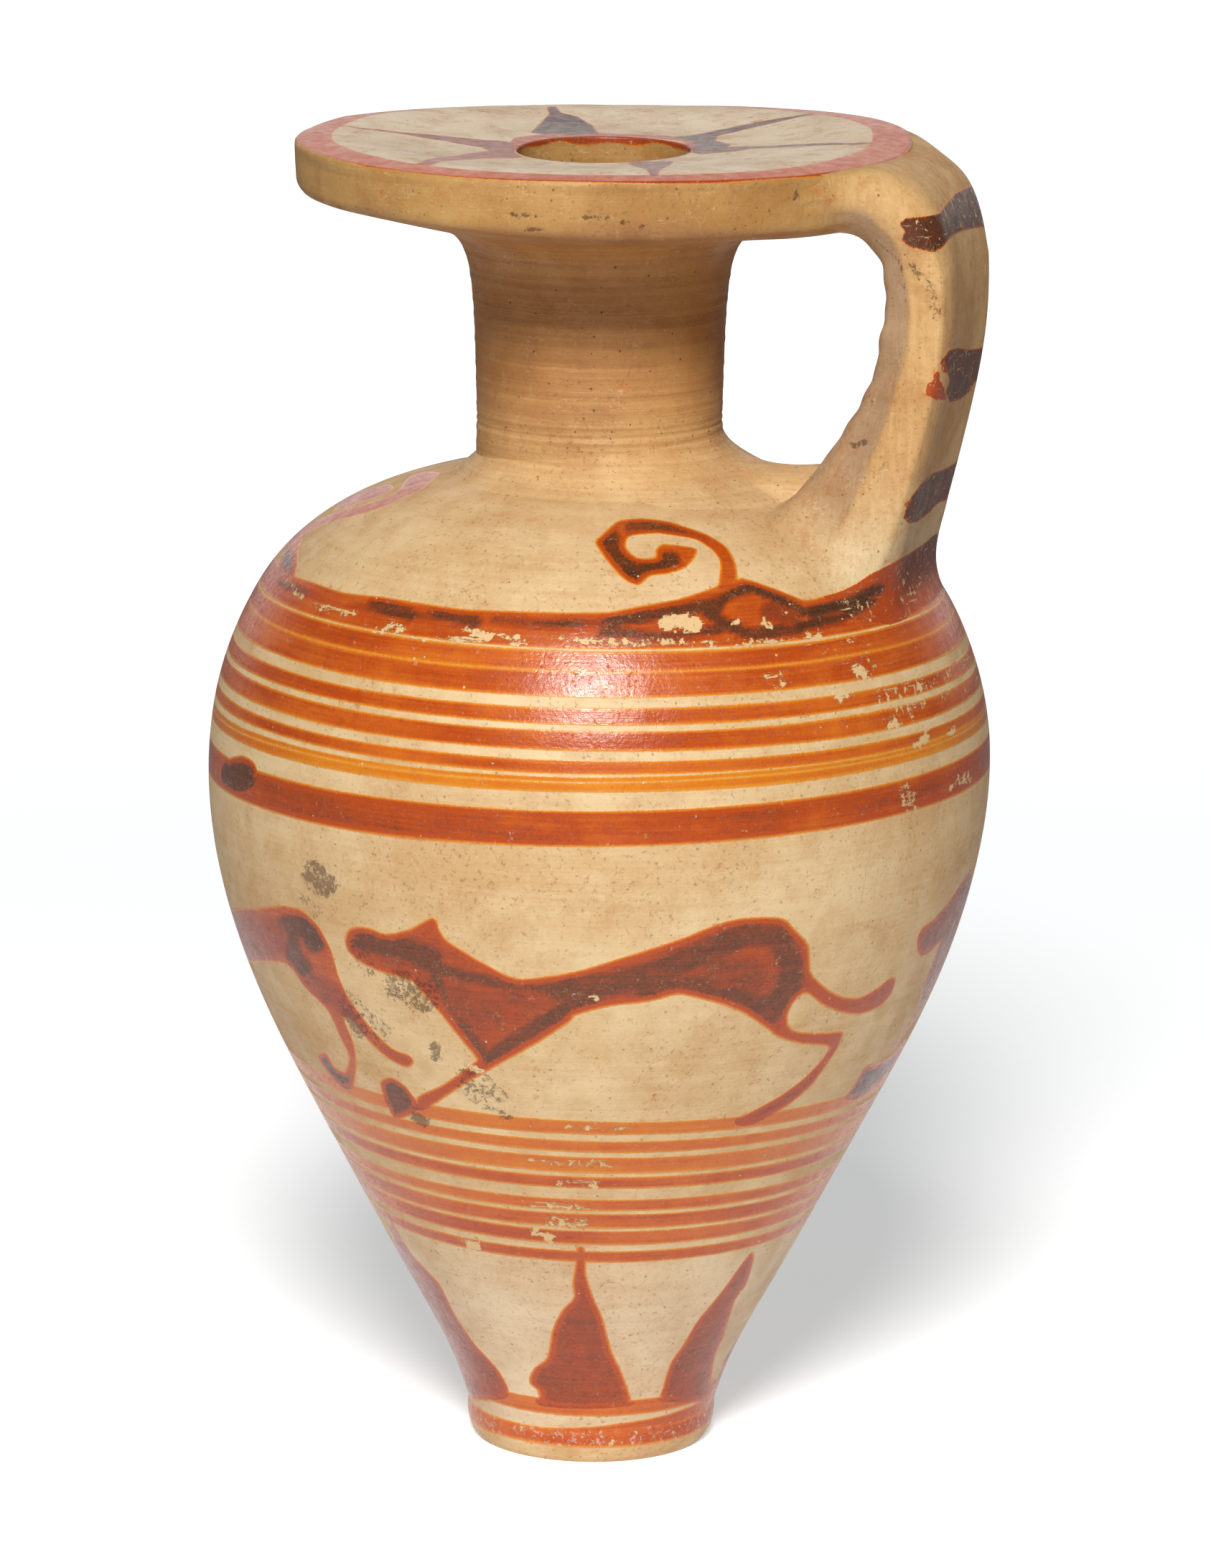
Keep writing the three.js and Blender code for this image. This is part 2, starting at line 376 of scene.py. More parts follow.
# Painted figures. Outlines and strokes are pixels of the photograph, cast on to the body.
hounds = {
    "outline": [
        (481, 1303), (486, 1293), (498, 1290), (514, 1292), (537, 1300), (566, 1295), (590, 1283),
        (601, 1277), (610, 1282), (612, 1293), (624, 1310), (673, 1340), (722, 1362), (800, 1352),
        (876, 1329), (953, 1304), (999, 1285), (1037, 1277), (1087, 1277), (1106, 1293), (1125, 1316),
        (1129, 1354), (1152, 1377), (1175, 1388), (1198, 1388), (1221, 1375), (1240, 1360), (1247, 1364),
        (1240, 1385), (1225, 1402), (1198, 1413), (1171, 1411), (1144, 1400), (1121, 1383), (1106, 1394),
        (1097, 1411), (1098, 1427), (1110, 1436), (1144, 1438), (1173, 1436), (1173, 1444), (1164, 1465),
        (1133, 1510), (1101, 1539), (1068, 1558), (1045, 1569), (1026, 1568), (1024, 1559), (1049, 1547),
        (1087, 1526), (1118, 1503), (1144, 1476), (1152, 1458), (1114, 1454), (1083, 1445), (1064, 1431),
        (1030, 1409), (991, 1395), (945, 1385), (907, 1394), (846, 1402), (800, 1415), (796, 1422),
        (754, 1450), (698, 1482), (656, 1506), (603, 1541), (586, 1547), (582, 1527), (621, 1508),
        (662, 1478), (662, 1471), (642, 1447), (607, 1404), (582, 1376), (572, 1366), (530, 1354),
        (501, 1340), (486, 1327), (480, 1314)],
    "paw": [
        (530, 1506), (545, 1499), (568, 1513), (584, 1538), (577, 1552), (551, 1559), (536, 1530)],
    # the hound in front: its hindquarters show at the left
    "frontRump": [
        (322, 1271), (358, 1264), (393, 1261), (421, 1268), (445, 1292), (463, 1327), (472, 1359),
        (487, 1390), (516, 1429), (547, 1459), (572, 1469), (579, 1480), (568, 1487), (544, 1476),
        (516, 1452), (491, 1422), (480, 1419), (494, 1454), (498, 1485), (494, 1513), (484, 1518),
        (466, 1506), (449, 1485), (441, 1471), (445, 1465), (454, 1466), (466, 1485), (480, 1492),
        (486, 1471), (473, 1443), (456, 1408), (424, 1376), (407, 1352), (389, 1341), (346, 1336)],
    # the hound behind: its raised snout and a paw show at the right
    "backHead": [
        (1276, 1328), (1275, 1310), (1282, 1293), (1301, 1277), (1320, 1254), (1343, 1220), (1352, 1212),
        (1352, 1250), (1340, 1300), (1316, 1360), (1310, 1365), (1314, 1335), (1309, 1314), (1286, 1333)],
    "backPaw": [
        (1177, 1532), (1190, 1511), (1206, 1484), (1219, 1482), (1240, 1472), (1262, 1446), (1262, 1460),
        (1240, 1492), (1218, 1515), (1200, 1530)],
    # copies: how far each is turned about the axis, the pixel where it is cut off, and which side
    # of the cut is left out: 1 right, -1 left, 0 neither
    "copies": [(0.0, 0.0, 0), (-82.0, 845.0, 1), (90.0, 630.0, -1), (187.0, 0.0, 0)],
    "tone": 0.57, "toneReach": 0.8, "seenWithin": 75,
}
spirals = {
    "outline": [
        (999, 820), (1001, 782), (990, 766), (966, 751), (916, 743), (878, 747), (872, 762), (887, 776),
        (912, 776), (912, 766), (924, 757), (970, 764), (957, 789), (932, 799), (905, 803), (889, 816),
        (866, 805), (829, 757), (833, 749), (858, 726), (891, 721), (932, 726), (982, 743), (1011, 762),
        (1024, 787), (1024, 812)],
    "turns": [0.0, -152.0, -222.0],
    "seenWithin": 60,
    # the left one shows edge on: its stem, and the curl that turns back
    "leftStem": [
        (404, 808), (411, 786), (413, 766), (420, 748), (431, 738), (446, 731), (470, 724), (500, 716),
        (530, 706), (556, 693), (580, 682), (592, 670), (600, 658), (578, 657), (562, 663), (553, 672),
        (549, 680), (535, 692), (505, 702), (475, 711), (450, 719), (430, 729), (414, 741), (400, 757),
        (388, 778), (382, 806)],
    "leftCurl": [
        (462, 711), (482, 706), (510, 696), (530, 688), (541, 679), (534, 674), (514, 679), (498, 684),
        (480, 693), (468, 702)],
}
rays = {
    "middle": [
        (802, 1737), (812, 1734), (818, 1745), (817, 1772), (825, 1800), (830, 1812), (840, 1835),
        (852, 1880), (868, 1915), (880, 1950), (882, 1958), (750, 1958), (752, 1940), (736, 1925),
        (744, 1905), (762, 1890), (770, 1850), (784, 1822), (799, 1806), (797, 1785), (801, 1760)],
    "right": [
        (1048, 1743), (1052, 1752), (1040, 1790), (1024, 1812), (1008, 1860), (994, 1895), (990, 1930),
        (988, 1951), (913, 1951), (920, 1940), (932, 1900), (952, 1870), (970, 1840), (1004, 1800),
        (1030, 1765)],
    "left": [
        (542, 1690), (552, 1712), (572, 1745), (592, 1766), (614, 1790), (634, 1830), (660, 1870),
        (696, 1910), (706, 1948), (646, 1946), (622, 1890), (594, 1820), (560, 1760), (545, 1722)],
    "farTurns": [93.0, 146.0, 198.0, 250.0],
    "base": 13.4, "tone": 0.64,
}
topBand = {
    "edge": [
        (386, 786), (409, 803), (433, 811), (477, 826), (529, 831), (566, 837), (640, 848), (714, 851),
        (788, 853), (850, 852), (895, 843), (944, 834), (986, 820), (1008, 812), (1031, 804), (1047, 808),
        (1083, 821), (1116, 835), (1131, 833), (1174, 818), (1210, 803), (1236, 788)],
    "farHeights": [(-5.0, 52.3), (0.0, 52.4), (12.0, 52.4), (24.0, 51.6), (45.0, 50.6), (80.0, 50.2),
                   (120.0, 50.8), (150.0, 50.3), (175.0, 50.6), (188.0, 50.2)],
    "bottom": 49.13,
    "rise": 0.62,  # the shoulder's, for each millimetre along it
    # slip pooled under its edge, all round but between two angles
    "pool": {"below": 0.55, "half": 0.3, "pace": 0.21, "amount": 0.4, "from": 149.5, "to": -22.5},
}
blotch = {"at": (331, 1078), "radius": 26.0, "corners": 9, "stroke": 62.4, "tone": 0.84}
paint = {
    "tone": 0.45, "outside": -3.0, "nearby": 2.0, "lineStep": 0.16, "roundness": 0.7, "strokeSoft": 0.35,
    "seenWithin": 86,
}

# Where the slip lies thick: strokes in the photograph's pixels, with width and thickness
thickSlip = {
    "hound": [
        ([(510, 1308), (560, 1320), (600, 1336)], 34, 0.8),
        ([(600, 1345), (650, 1360), (720, 1374), (790, 1378)], 16, 0.78),
        ([(606, 1360), (630, 1400), (664, 1452), (676, 1476)], 13, 0.8),
        ([(676, 1478), (730, 1440), (790, 1404), (830, 1388)], 20, 0.8),
        ([(780, 1376), (850, 1370), (920, 1352), (985, 1322), (1040, 1300), (1085, 1304), (1100, 1340),
          (1098, 1380), (1070, 1408), (1040, 1398), (980, 1376), (900, 1376)], 34, 0.78),
        ([(640, 1390), (680, 1420), (730, 1400)], 40, 0.64),
        ([(1000, 1350), (1050, 1358)], 40, 0.68),
        ([(1126, 1498), (1090, 1530), (1032, 1562)], 30, 0.6),
        ([(1190, 1402), (1244, 1366)], 22, 0.56),
        ([(545, 1512), (566, 1545)], 40, 0.84)],
    "frontRump": [
        ([(398, 1290), (430, 1292), (438, 1312)], 30, 0.86),
        ([(404, 1300), (408, 1330), (424, 1350)], 22, 0.84),
        ([(330, 1300), (370, 1310)], 60, 0.6),
        ([(440, 1372), (478, 1395)], 34, 0.62),
        ([(452, 1482), (486, 1512)], 22, 0.84),
        ([(540, 1466), (574, 1480)], 24, 0.6)],
    "backHead": [
        ([(1286, 1316), (1340, 1240)], 70, 0.66),
        ([(1186, 1528), (1224, 1484)], 40, 0.84)],
    "hook": [
        ([(845, 752), (862, 782), (884, 802)], 36, 0.84),
        ([(880, 735), (930, 735), (975, 752)], 20, 0.74),
        ([(905, 785), (935, 780)], 24, 0.86)],
    "shoulder": [
        ([(520, 842), (568, 856)], 20, 0.84), ([(606, 852), (660, 866)], 18, 0.8),
        ([(690, 862), (760, 870), (850, 866)], 14, 0.66),
        ([(850, 866), (930, 852), (1000, 842)], 18, 0.84),
        ([(840, 882), (930, 886), (1000, 878)], 14, 0.78),
        ([(1000, 838), (1025, 823), (1048, 818), (1080, 832), (1118, 852)], 12, 0.9),
        ([(985, 852), (1010, 868), (1044, 884), (1110, 874)], 16, 0.84),
        ([(1070, 850), (1100, 860)], 26, 0.68),
        ([(1128, 852), (1180, 842), (1222, 820)], 15, 0.96),
        ([(1112, 870), (1170, 860), (1216, 838)], 11, 0.92),
        ([(384, 770), (410, 790)], 26, 0.75)],
}
# Where it has come off: strokes, with width and how much is gone
wornSlip = [
    ([(396, 812), (415, 832), (450, 848), (490, 854)], 12, 0.62),
    ([(522, 876), (580, 890), (640, 892), (680, 890)], 12, 0.6),
    ([(650, 878), (730, 893)], 16, 0.6),
    ([(760, 886), (840, 896), (920, 892), (1000, 898), (1090, 892), (1137, 884)], 12, 0.64),
    ([(926, 868), (945, 865), (968, 870)], 20, 1.3),
    ([(1022, 866), (1026, 866)], 9, 1.2), ([(1062, 866), (1070, 872)], 10, 0.9),
    ([(1166, 972), (1182, 958)], 16, 0.9), ([(1236, 1014), (1250, 1012)], 10, 1.0),
    ([(1274, 1034), (1288, 1026)], 12, 1.1), ([(1318, 1026), (1324, 1022)], 10, 1.1),
    ([(1258, 1100), (1266, 1124)], 22, 0.62), ([(1322, 1100), (1346, 1076)], 16, 0.6),
    ([(1070, 944), (1084, 950)], 20, 0.6), ([(1188, 930), (1206, 944)], 14, 0.6),
    ([(1150, 900), (1260, 960)], 60, 0.2), ([(1240, 980), (1340, 930)], 60, 0.3),
    ([(790, 1570), (880, 1570)], 12, 0.55), ([(739, 1618), (851, 1622)], 12, 0.55),
    ([(770, 1645), (830, 1648)], 10, 0.6), ([(742, 1678), (830, 1682)], 12, 0.6),
    ([(760, 1700), (815, 1702)], 12, 0.7), ([(745, 1716), (770, 1724)], 14, 0.8),
    ([(655, 1730), (668, 1738)], 14, 1.0), ([(470, 1640), (560, 1700)], 70, 0.25),
    ([(660, 1486), (668, 1492)], 10, 1.2), ([(1120, 1392), (1150, 1406)], 10, 0.5),
    ([(826, 1386), (832, 1392)], 7, 1.1), ([(540, 862), (556, 876)], 12, 0.6),
]
soot = [
    ([(436, 1216), (452, 1232)], 36, 0.9), ([(556, 1370), (590, 1390)], 46, 0.7),
    ([(496, 1320), (516, 1352)], 26, 0.45), ([(606, 1458), (610, 1470)], 16, 0.9),
    ([(582, 1556), (594, 1562)], 14, 1.1), ([(655, 1505), (690, 1528)], 44, 0.5),
    ([(700, 1552), (712, 1556)], 10, 0.7), ([(486, 1395), (530, 1440)], 36, 0.45),
    ([(484, 1414), (500, 1440)], 16, 0.7), ([(420, 1250), (440, 1270)], 24, 0.35),
]


def toSegment(points, a, b):
    # distance to the straight line between two points
    span = b - a
    t = np.clip((points - a) @ span / max(span @ span, 1e-9), 0, 1)
    return np.linalg.norm(points - a - t[:, None] * span, axis=1)


def insideBy(points, corners, flat, flatCorners):
    # how far inside a closed line each point lies, and less than 0 outside it; the flat twins of
    # points and corners tell which side it is
    best = np.full(len(points), np.inf)
    inside = np.zeros(len(points), bool)
    x, y = flat.T
    for k in range(len(corners)):
        best = np.minimum(best, toSegment(points, corners[k - 1], corners[k]))
        (x0, y0), (x1, y1) = flatCorners[k - 1], flatCorners[k]
        if y0 != y1:
            inside ^= ((y0 > y) != (y1 > y)) & (x < (x1 - x0) * (y - y0) / (y1 - y0) + x0)
    return np.where(inside, best, -best)


def strokeWeight(pixels, path, width):
    # 1 along the stroke, falling softly to 0 across its edge
    path = np.array(path, float)
    best = np.min([toSegment(pixels, a, b) for a, b in zip(path[:-1], path[1:])], axis=0)
    t = ramp(best / (width / 2), 1 + paint["strokeSoft"], 1 - paint["strokeSoft"])
    return t * t * (3 - 2 * t)


def strokeSum(pixels, strokes):
    return sum(strokeWeight(pixels, path, width) * amount for path, width, amount in strokes)


def thicken(tone, pixels, strokes, where):
    # turns the slip's thickness to that of each stroke
    for path, width, amount in strokes:
        tone += strokeWeight(pixels, path, width) * where * (amount - tone)


def turnedAbout(points, angle):
    c, s = math.cos(math.radians(angle)), math.sin(math.radians(angle))
    return points @ np.array([[c, s, 0], [-s, c, 0], [0, 0, 1]])


def closedCurve(pixels):
    # the outline as a smooth closed line on the body: angles and heights
    corners = np.array([onBody(u, v) for u, v in pixels])
    line = []
    for i in range(len(corners)):
        p = [corners[(i + k) % len(corners)] for k in (-1, 0, 1, 2)]
        length = np.linalg.norm(bodyPoint(*p[2]) - bodyPoint(*p[1]))
        for t in np.arange(0, 1, 1 / max(2, math.ceil(length / paint["lineStep"]))):
            # between straight and round, as a brush turns
            bow = 0.5 * ((2 * p[1]) + (p[2] - p[0]) * t + (2 * p[0] - 5 * p[1] + 4 * p[2] - p[3]) * t ** 2
                         + (3 * p[1] - p[0] - 3 * p[2] + p[3]) * t ** 3)
            straight = p[1] * (1 - t) + p[2] * t
            line.append(straight + paint["roundness"] * (bow - straight))
    return np.array(line)


def insideDistance(points, line):
    # millimetres into a closed line on the body; points far from it aren't measured
    loop = bodyPoint(line[:, 0], line[:, 1])
    middle = (line[:, 0].min() + line[:, 0].max()) / 2
    low, high = loop.min(0) - paint["nearby"], loop.max(0) + paint["nearby"]
    near = np.nonzero(((points > low) & (points < high)).all(1))[0]
    flat = np.stack([wrapped(angleOf(points[near]) - middle) + middle, points[near, 2]], 1)
    distance = np.full(len(points), paint["outside"])
    distance[near] = insideBy(points[near], loop, flat, line)
    return distance


def topEdgeHeight(angle):
    seen = [onBody(u, v) for u, v in topBand["edge"]]
    known = np.array(sorted(seen + [(a - 360 if a > 180 else a, z) for a, z in topBand["farHeights"]]))
    return np.interp(angle, known[:, 0], known[:, 1], period=360)


def paintBody(points):
    # distance into the painted figures, thickness of their slip, wear and soot, at each point
    angle = angleOf(points)
    points = bodyPoint(angle, points[:, 2])  # back on the true round line that the outlines are cast on
    painted, tone = np.full(len(points), paint["outside"]), np.full(len(points), paint["tone"])

    def lay(line, turn=0.0, limit=np.inf):
        distance = np.minimum(insideDistance(turnedAbout(points, -turn), line), limit)
        np.maximum(painted, distance, out=painted)
        return distance

    hound, paw, hook, ray = (closedCurve(outline) for outline in (
        hounds["outline"], hounds["paw"], spirals["outline"], rays["middle"]))
    for turn, cut, side in hounds["copies"]:
        local = turnedAbout(points, -turn)
        pixels = toPixels(local)
        kept = side * (cut - pixels[:, 0]) * pixelSize if side else np.inf
        distance = lay(hound, turn, kept)
        tone[distance > -hounds["toneReach"]] = hounds["tone"]
        if side >= 0:
            lay(paw, turn)
        thicken(tone, pixels, thickSlip["hound"], facesCamera(local, hounds["seenWithin"]) & (kept > 0))
    pixels, seen = toPixels(points), facesCamera(points, paint["seenWithin"])
    for name in ("frontRump", "backHead", "backPaw"):
        lay(closedCurve(hounds[name]))
        thicken(tone, pixels, thickSlip.get(name, []), seen)

    for turn in spirals["turns"]:
        lay(hook, turn)
        local = turnedAbout(points, -turn)
        thicken(tone, toPixels(local), thickSlip["hook"], facesCamera(local, spirals["seenWithin"]))
    for name in ("leftStem", "leftCurl"):
        lay(closedCurve(spirals[name]))
    below = topEdgeHeight(angle) - points[:, 2]
    band = np.minimum(below, points[:, 2] - topBand["bottom"]) / topBand["rise"]
    np.maximum(painted, band, out=painted)
    thicken(tone, pixels, thickSlip["shoulder"], seen)
    pool = topBand["pool"]
    ridge = ramp(np.abs(below - pool["below"]), pool["half"], 0) * (0.5 + 0.5 * np.sin(angle * pool["pace"]))
    pooled = (angle < pool["to"]) | (angle > pool["from"])
    tone[pooled] = np.maximum(tone, paint["tone"] + pool["amount"] * ridge)[pooled]

    lay(closedCurve(arc(blotch["at"], blotch["radius"], 0, 360, blotch["corners"] + 1)[:-1]))
    thicken(tone, pixels, [([blotch["at"], blotch["at"]], blotch["stroke"], blotch["tone"])], seen)
    for turn in (0.0, *rays["farTurns"]):
        lay(ray, turn)
    for name in ("left", "right"):
        lay(closedCurve(rays[name]))
    tone[points[:, 2] < rays["base"]] = rays["tone"]
    return painted, tone, strokeSum(pixels, wornSlip) * seen, strokeSum(pixels, soot) * seen


# Shader building. A value is a node's output; plus, minus and times add a Math node behind it.

class Value:
    def __init__(self, socket):
        self.socket, self.tree = socket, socket.id_data

    def calc(self, operation, *values):
        return result(self.tree, "Math", dict(enumerate(values)), operation=operation)

    def __add__(self, other):
        return self.calc("ADD", self, other)

    def __mul__(self, other):
        return self.calc("MULTIPLY", self, other)

    def __sub__(self, other):
        return self.calc("SUBTRACT", self, other)

    def __rsub__(self, other):
        return self.calc("SUBTRACT", other, self)

    def __gt__(self, other):
        return self.calc("GREATER_THAN", self, other)

    def __abs__(self):
        return self.calc("ABSOLUTE", self)

    __radd__ = __add__


def connect(node, links):
    for key, value in links.items():
        if isinstance(value, Value):
            node.id_data.links.new(value.socket, node.inputs[key])
        else:
            node.inputs[key].default_value = value


def place(tree, kind, links, **settings):
    node = tree.nodes.new("ShaderNode" + kind)
    for name, value in settings.items():
        setattr(node, name, value)
    connect(node, links)
    return node


def result(tree, kind, links, output=0, **settings):
    return Value(place(tree, kind, links, **settings).outputs[output])


def larger(a, b):
    return a.calc("MAXIMUM", a, b)


def ease(value, low, high, outLow=0.0, outHigh=1.0):
    # a soft step from one value to another while the input goes from low to high
    return result(value.tree, "MapRange", {
        "Value": value, "From Min": low, "From Max": high, "To Min": outLow, "To Max": outHigh,
    }, interpolation_type="SMOOTHSTEP")


def tint(factor, under, over):
    return result(factor.tree, "Mix", {0: factor, 6: under, 7: over}, 2, data_type="RGBA")


def stretched(where, factors):
    return result(where.tree, "VectorMath", {0: where, 1: factors}, operation="MULTIPLY")


def cloud(where, scale, detail=2.0, roughness=0.5, stretch=None):
    # noise of so many cells to the millimetre; a small stretch on an axis draws it out along it
    if stretch:
        where = stretched(where, stretch)
    return result(where.tree, "TexNoise", {
        "Vector": where, "Scale": scale, "Detail": detail, "Roughness": roughness})


def inMillimetres(tree):
    return stretched(result(tree, "TexCoord", {}, "Object"), (1 / mm, 1 / mm, 1 / mm))


def heightOf(where):
    return result(where.tree, "SeparateXYZ", {0: where}, 2)


def alongAxis(where, axis):
    return result(where.tree, "VectorMath", {0: where, 1: tuple(axis)}, "Value", operation="DOT_PRODUCT")


def linear(red, green, blue):
    def one(v):
        v /= 255
        return v / 12.92 if v <= 0.04045 else ((v + 0.055) / 1.055) ** 2.4
    return (one(red), one(green), one(blue), 1.0)


def newGroup(name, inputs, outputs):
    # gives its tree, the place in millimetres, the inputs by name and the node for its outputs
    tree = bpy.data.node_groups.new(name, "ShaderNodeTree")
    sockets = [("INPUT", label, isinstance(value, tuple), value) for label, value in inputs.items()]
    sockets += [("OUTPUT", label, label == "Color", None) for label in outputs]
    for side, label, colored, value in sockets:
        kind = "NodeSocketColor" if colored else "NodeSocketFloat"
        socket = tree.interface.new_socket(label, in_out=side, socket_type=kind)
        if value is not None:
            socket.default_value = value
    given = {socket.name: Value(socket) for socket in tree.nodes.new("NodeGroupInput").outputs}
    return tree, inMillimetres(tree), given, tree.nodes.new("NodeGroupOutput")


def spots(where, scale, rare, small, large):
    # scattered round spots: 1 inside; the rarer, the nearer "rare" is to 1
    cells = place(where.tree, "TexVoronoi", {"Vector": where, "Scale": scale}).outputs
    pick = place(where.tree, "SeparateColor", {0: Value(cells["Color"])}).outputs
    radius = ease(Value(pick[1]), 0.0, 1.0, small, large)
    inside = ease(radius - Value(cells["Distance"]), 0.0, small * 0.5)
    return inside * (Value(pick[0]) > rare)


def hairlines(where, scale, width, cover):
    # thin wandering lines: where a noise crosses its middle value, inside patches of another
    line = ease(abs(cloud(where, scale, 3, 0.55) - 0.5), width, 0.0)
    return line * ease(cloud(where, scale * 0.6, 1), cover, cover + 0.08)


clay = {
    "lit": linear(218, 191, 146), "deep": linear(198, 160, 110),
    # paler clay low on the body: painted reflection of the bright floor
    "low": (linear(222, 202, 168), linear(206, 178, 142)),
    # above the first height the clay turns towards the upper colours, reached at the second
    "body": (linear(208, 168, 112), linear(180, 134, 82), 53.0, 58.0),
    # towards its top, under the disc, the neck's clay turns darker
    "neck": (linear(190, 138, 80), linear(160, 108, 58), 56.5, 62.5),
    "handle": (linear(206, 182, 138), linear(187, 151, 104)),
    # the strap's inner face is darker: painted shade on the side turned away from the light
    "handleInsideShade": (linear(190, 158, 124), linear(164, 132, 98), "inside"),
    "rust": linear(190, 112, 52), "stain": linear(168, 112, 56),
    "speck": linear(96, 60, 34), "scratch": linear(232, 208, 168),
    # its noises: cells to the millimetre, detail, roughness, and stretch where they run along an axis
    "noise": {
        "slow": (0.11, 3), "patchy": (0.55, 4), "fine": (5.0, 3, 0.6), "blotch": (0.5, 6, 0.76),
        "rust": (0.9, 6, 0.7), "speckle": (3.6, 8, 0.8), "cracked": (0.3, 2),
        "wheel": (1.0, 5, 0.65, (0.05, 0.05, 3.4)), "upright": (1.0, 4, 0.65, (4.2, 4.2, 0.16))},
    # where each mask starts and where it is full; the roughness also has its lowest and highest value
    "edge": {
        "deep": (0.5, 1.05), "blotch": (0.47, 0.66), "rust": (0.60, 0.72), "speckle": (0.56, 0.68),
        "cracked": (0.55, 0.65), "crack": (0.006, 0.0), "roughness": (0.3, 0.7, 0.5, 0.66)},
    "mix": {"slow": 0.9, "patchy": 0.45, "fine": 0.2, "wheel": 1.0, "upright": 1.0},
    "warp": (0.6, 5.0), "crackScale": 0.14, "speckleDrift": 0.12,
    # dry scratches: stretch, scale, width and cover; pits: scale, rarity, smallest and largest
    "scratches": [((0.3, 0.3, 2.0), 0.9, 0.012, 0.52), ((1.6, 0.7, 0.9), 1.1, 0.01, 0.5)],
    "pits": [(0.75, 0.86, 0.02, 0.09), (2.1, 0.6, 0.03, 0.16)],
    # how strongly the marks colour it, and how high each of its layers stands, in millimetres
    "marks": {"rust": 1.1, "scratch": 0.24, "speckle": 0.65, "crack": 0.3, "pits": 0.85},
    "relief": {"wheel": 0.05, "fine": 0.02, "upright": 0.04, "speckle": -0.01, "patchy": 0.05,
               "pits": -0.06, "crack": -0.008},
}


def firedClayGroup():
    tree, here, given, out = newGroup("firedClay", {
        "Lit": clay["lit"], "Deep": clay["deep"], "Wheel lines": 0.4, "Pits": 0.5, "Grime": 0.4,
        "Blotches": 0.22, "Upright lines": 0.0}, ["Color", "Roughness", "Height"])
    edge, marks = clay["edge"], clay["marks"]
    layers = {name: cloud(here, *numbers) for name, numbers in clay["noise"].items()}
    layers["wheel"] = (layers["wheel"] - 0.5) * given["Wheel lines"]
    layers["upright"] = (layers["upright"] - 0.5) * given["Upright lines"]
    mixed = sum(layers[name] * share for name, share in clay["mix"].items())
    # fine brown speckle, denser in some places than in others
    speckle = layers["speckle"] + (layers["slow"] - 0.5) * clay["speckleDrift"]
    layers["speckle"] = ease(speckle, *edge["speckle"])
    scratch = larger(*(
        hairlines(stretched(here, stretch), *numbers) for stretch, *numbers in clay["scratches"]))
    pits = larger(*(spots(here, *numbers) for numbers in clay["pits"]))
    layers["pits"] = pits * given["Pits"]
    scale, detail = clay["warp"]
    warp = result(tree, "TexNoise", {"Vector": here, "Scale": scale, "Detail": detail}, "Color")
    warped = result(tree, "VectorMath", {0: here, 1: warp}, operation="ADD")
    away = result(tree, "TexVoronoi", {"Vector": warped, "Scale": clay["crackScale"]}, "Distance",
                  feature="DISTANCE_TO_EDGE")
    layers["crack"] = ease(away, *edge["crack"]) * ease(layers["cracked"], *edge["cracked"])
    color = tint(ease(mixed, *edge["deep"]), given["Lit"], given["Deep"])
    for amount, shade in (
            (ease(layers["blotch"], *edge["blotch"]) * given["Blotches"], "stain"),
            (ease(layers["rust"], *edge["rust"]) * given["Grime"] * marks["rust"], "rust"),
            (scratch * marks["scratch"], "scratch"), (layers["speckle"] * marks["speckle"], "stain"),
            (layers["crack"] * marks["crack"], "rust"), (layers["pits"] * marks["pits"], "speck")):
        color = tint(amount, color, clay[shade])
    connect(out, {
        "Color": color, "Roughness": ease(layers["patchy"], *edge["roughness"]),
        "Height": sum(layers[name] * depth for name, depth in clay["relief"].items())})
    return tree


slip = {
    "ramp": [
        (0.00, linear(214, 138, 38)), (0.14, linear(204, 116, 24)), (0.34, linear(194, 94, 26)),
        (0.50, linear(172, 68, 12)), (0.64, linear(144, 58, 20)), (0.80, linear(102, 52, 26)),
        (1.00, linear(64, 38, 22))],
    # the soot colour also serves for the lines of painted shade on the disc and the handle
    "chalk": linear(214, 190, 184), "soot": linear(88, 44, 20), "bare": linear(216, 180, 124),
    # its noises, as the clay's; they are used as steps from their middle
    "noise": {
        "slow": (0.45, 3), "brushy": (1.4, 4, 0.6), "grainy": (7.0, 3, 0.6), "flaky": (2.0, 7, 0.72),
        "dry": (1.0, 6, 0.74, (0.5, 0.5, 5.0)), "streaks": (1.0, 3, 0.65, (0.16, 0.16, 7.0)),
        "chalky": (2.6, 6, 0.74), "sooty": (3.0, 8, 0.84)},
    "edge": {
        "cover": (-0.03, 0.04), "mottle": (0.5, 0.75, 0.16, 0.5), "craze": (0.5, 0.7, 0.1, 0.4),
        "flaky": (0.165, 0.19), "dry": (0.185, 0.21), "chalky": (0.14, 0.26, 0.0, 0.7), "sooty": (0.1, 0.2),
        "sootFrom": (0.05, 0.4), "polish": (-0.2, 0.2, 0.2, 0.32)},
    # how far noises move the painted edge, the thickness and the rim of thick slip
    "wander": {"brushy": 0.06, "grainy": 0.1}, "uneven": {"slow": 0.22, "brushy": 0.2}, "ragged": 0.3,
    "pooling": 0.5, "rimEnd": (1.4, 0.06),
    # how much an input adds to its noise
    "pull": {"flaky": 0.26, "dry": 0.22, "chalky": 0.22, "sooty": 0.18},
    "crazing": (1.5, 0.008, 0.5), "pinHoles": (1.6, 0.86, 0.02, 0.14),
    "bareShade": 0.6, "sootShade": 0.66, "height": 0.016, "sootHeight": 0.02,
}


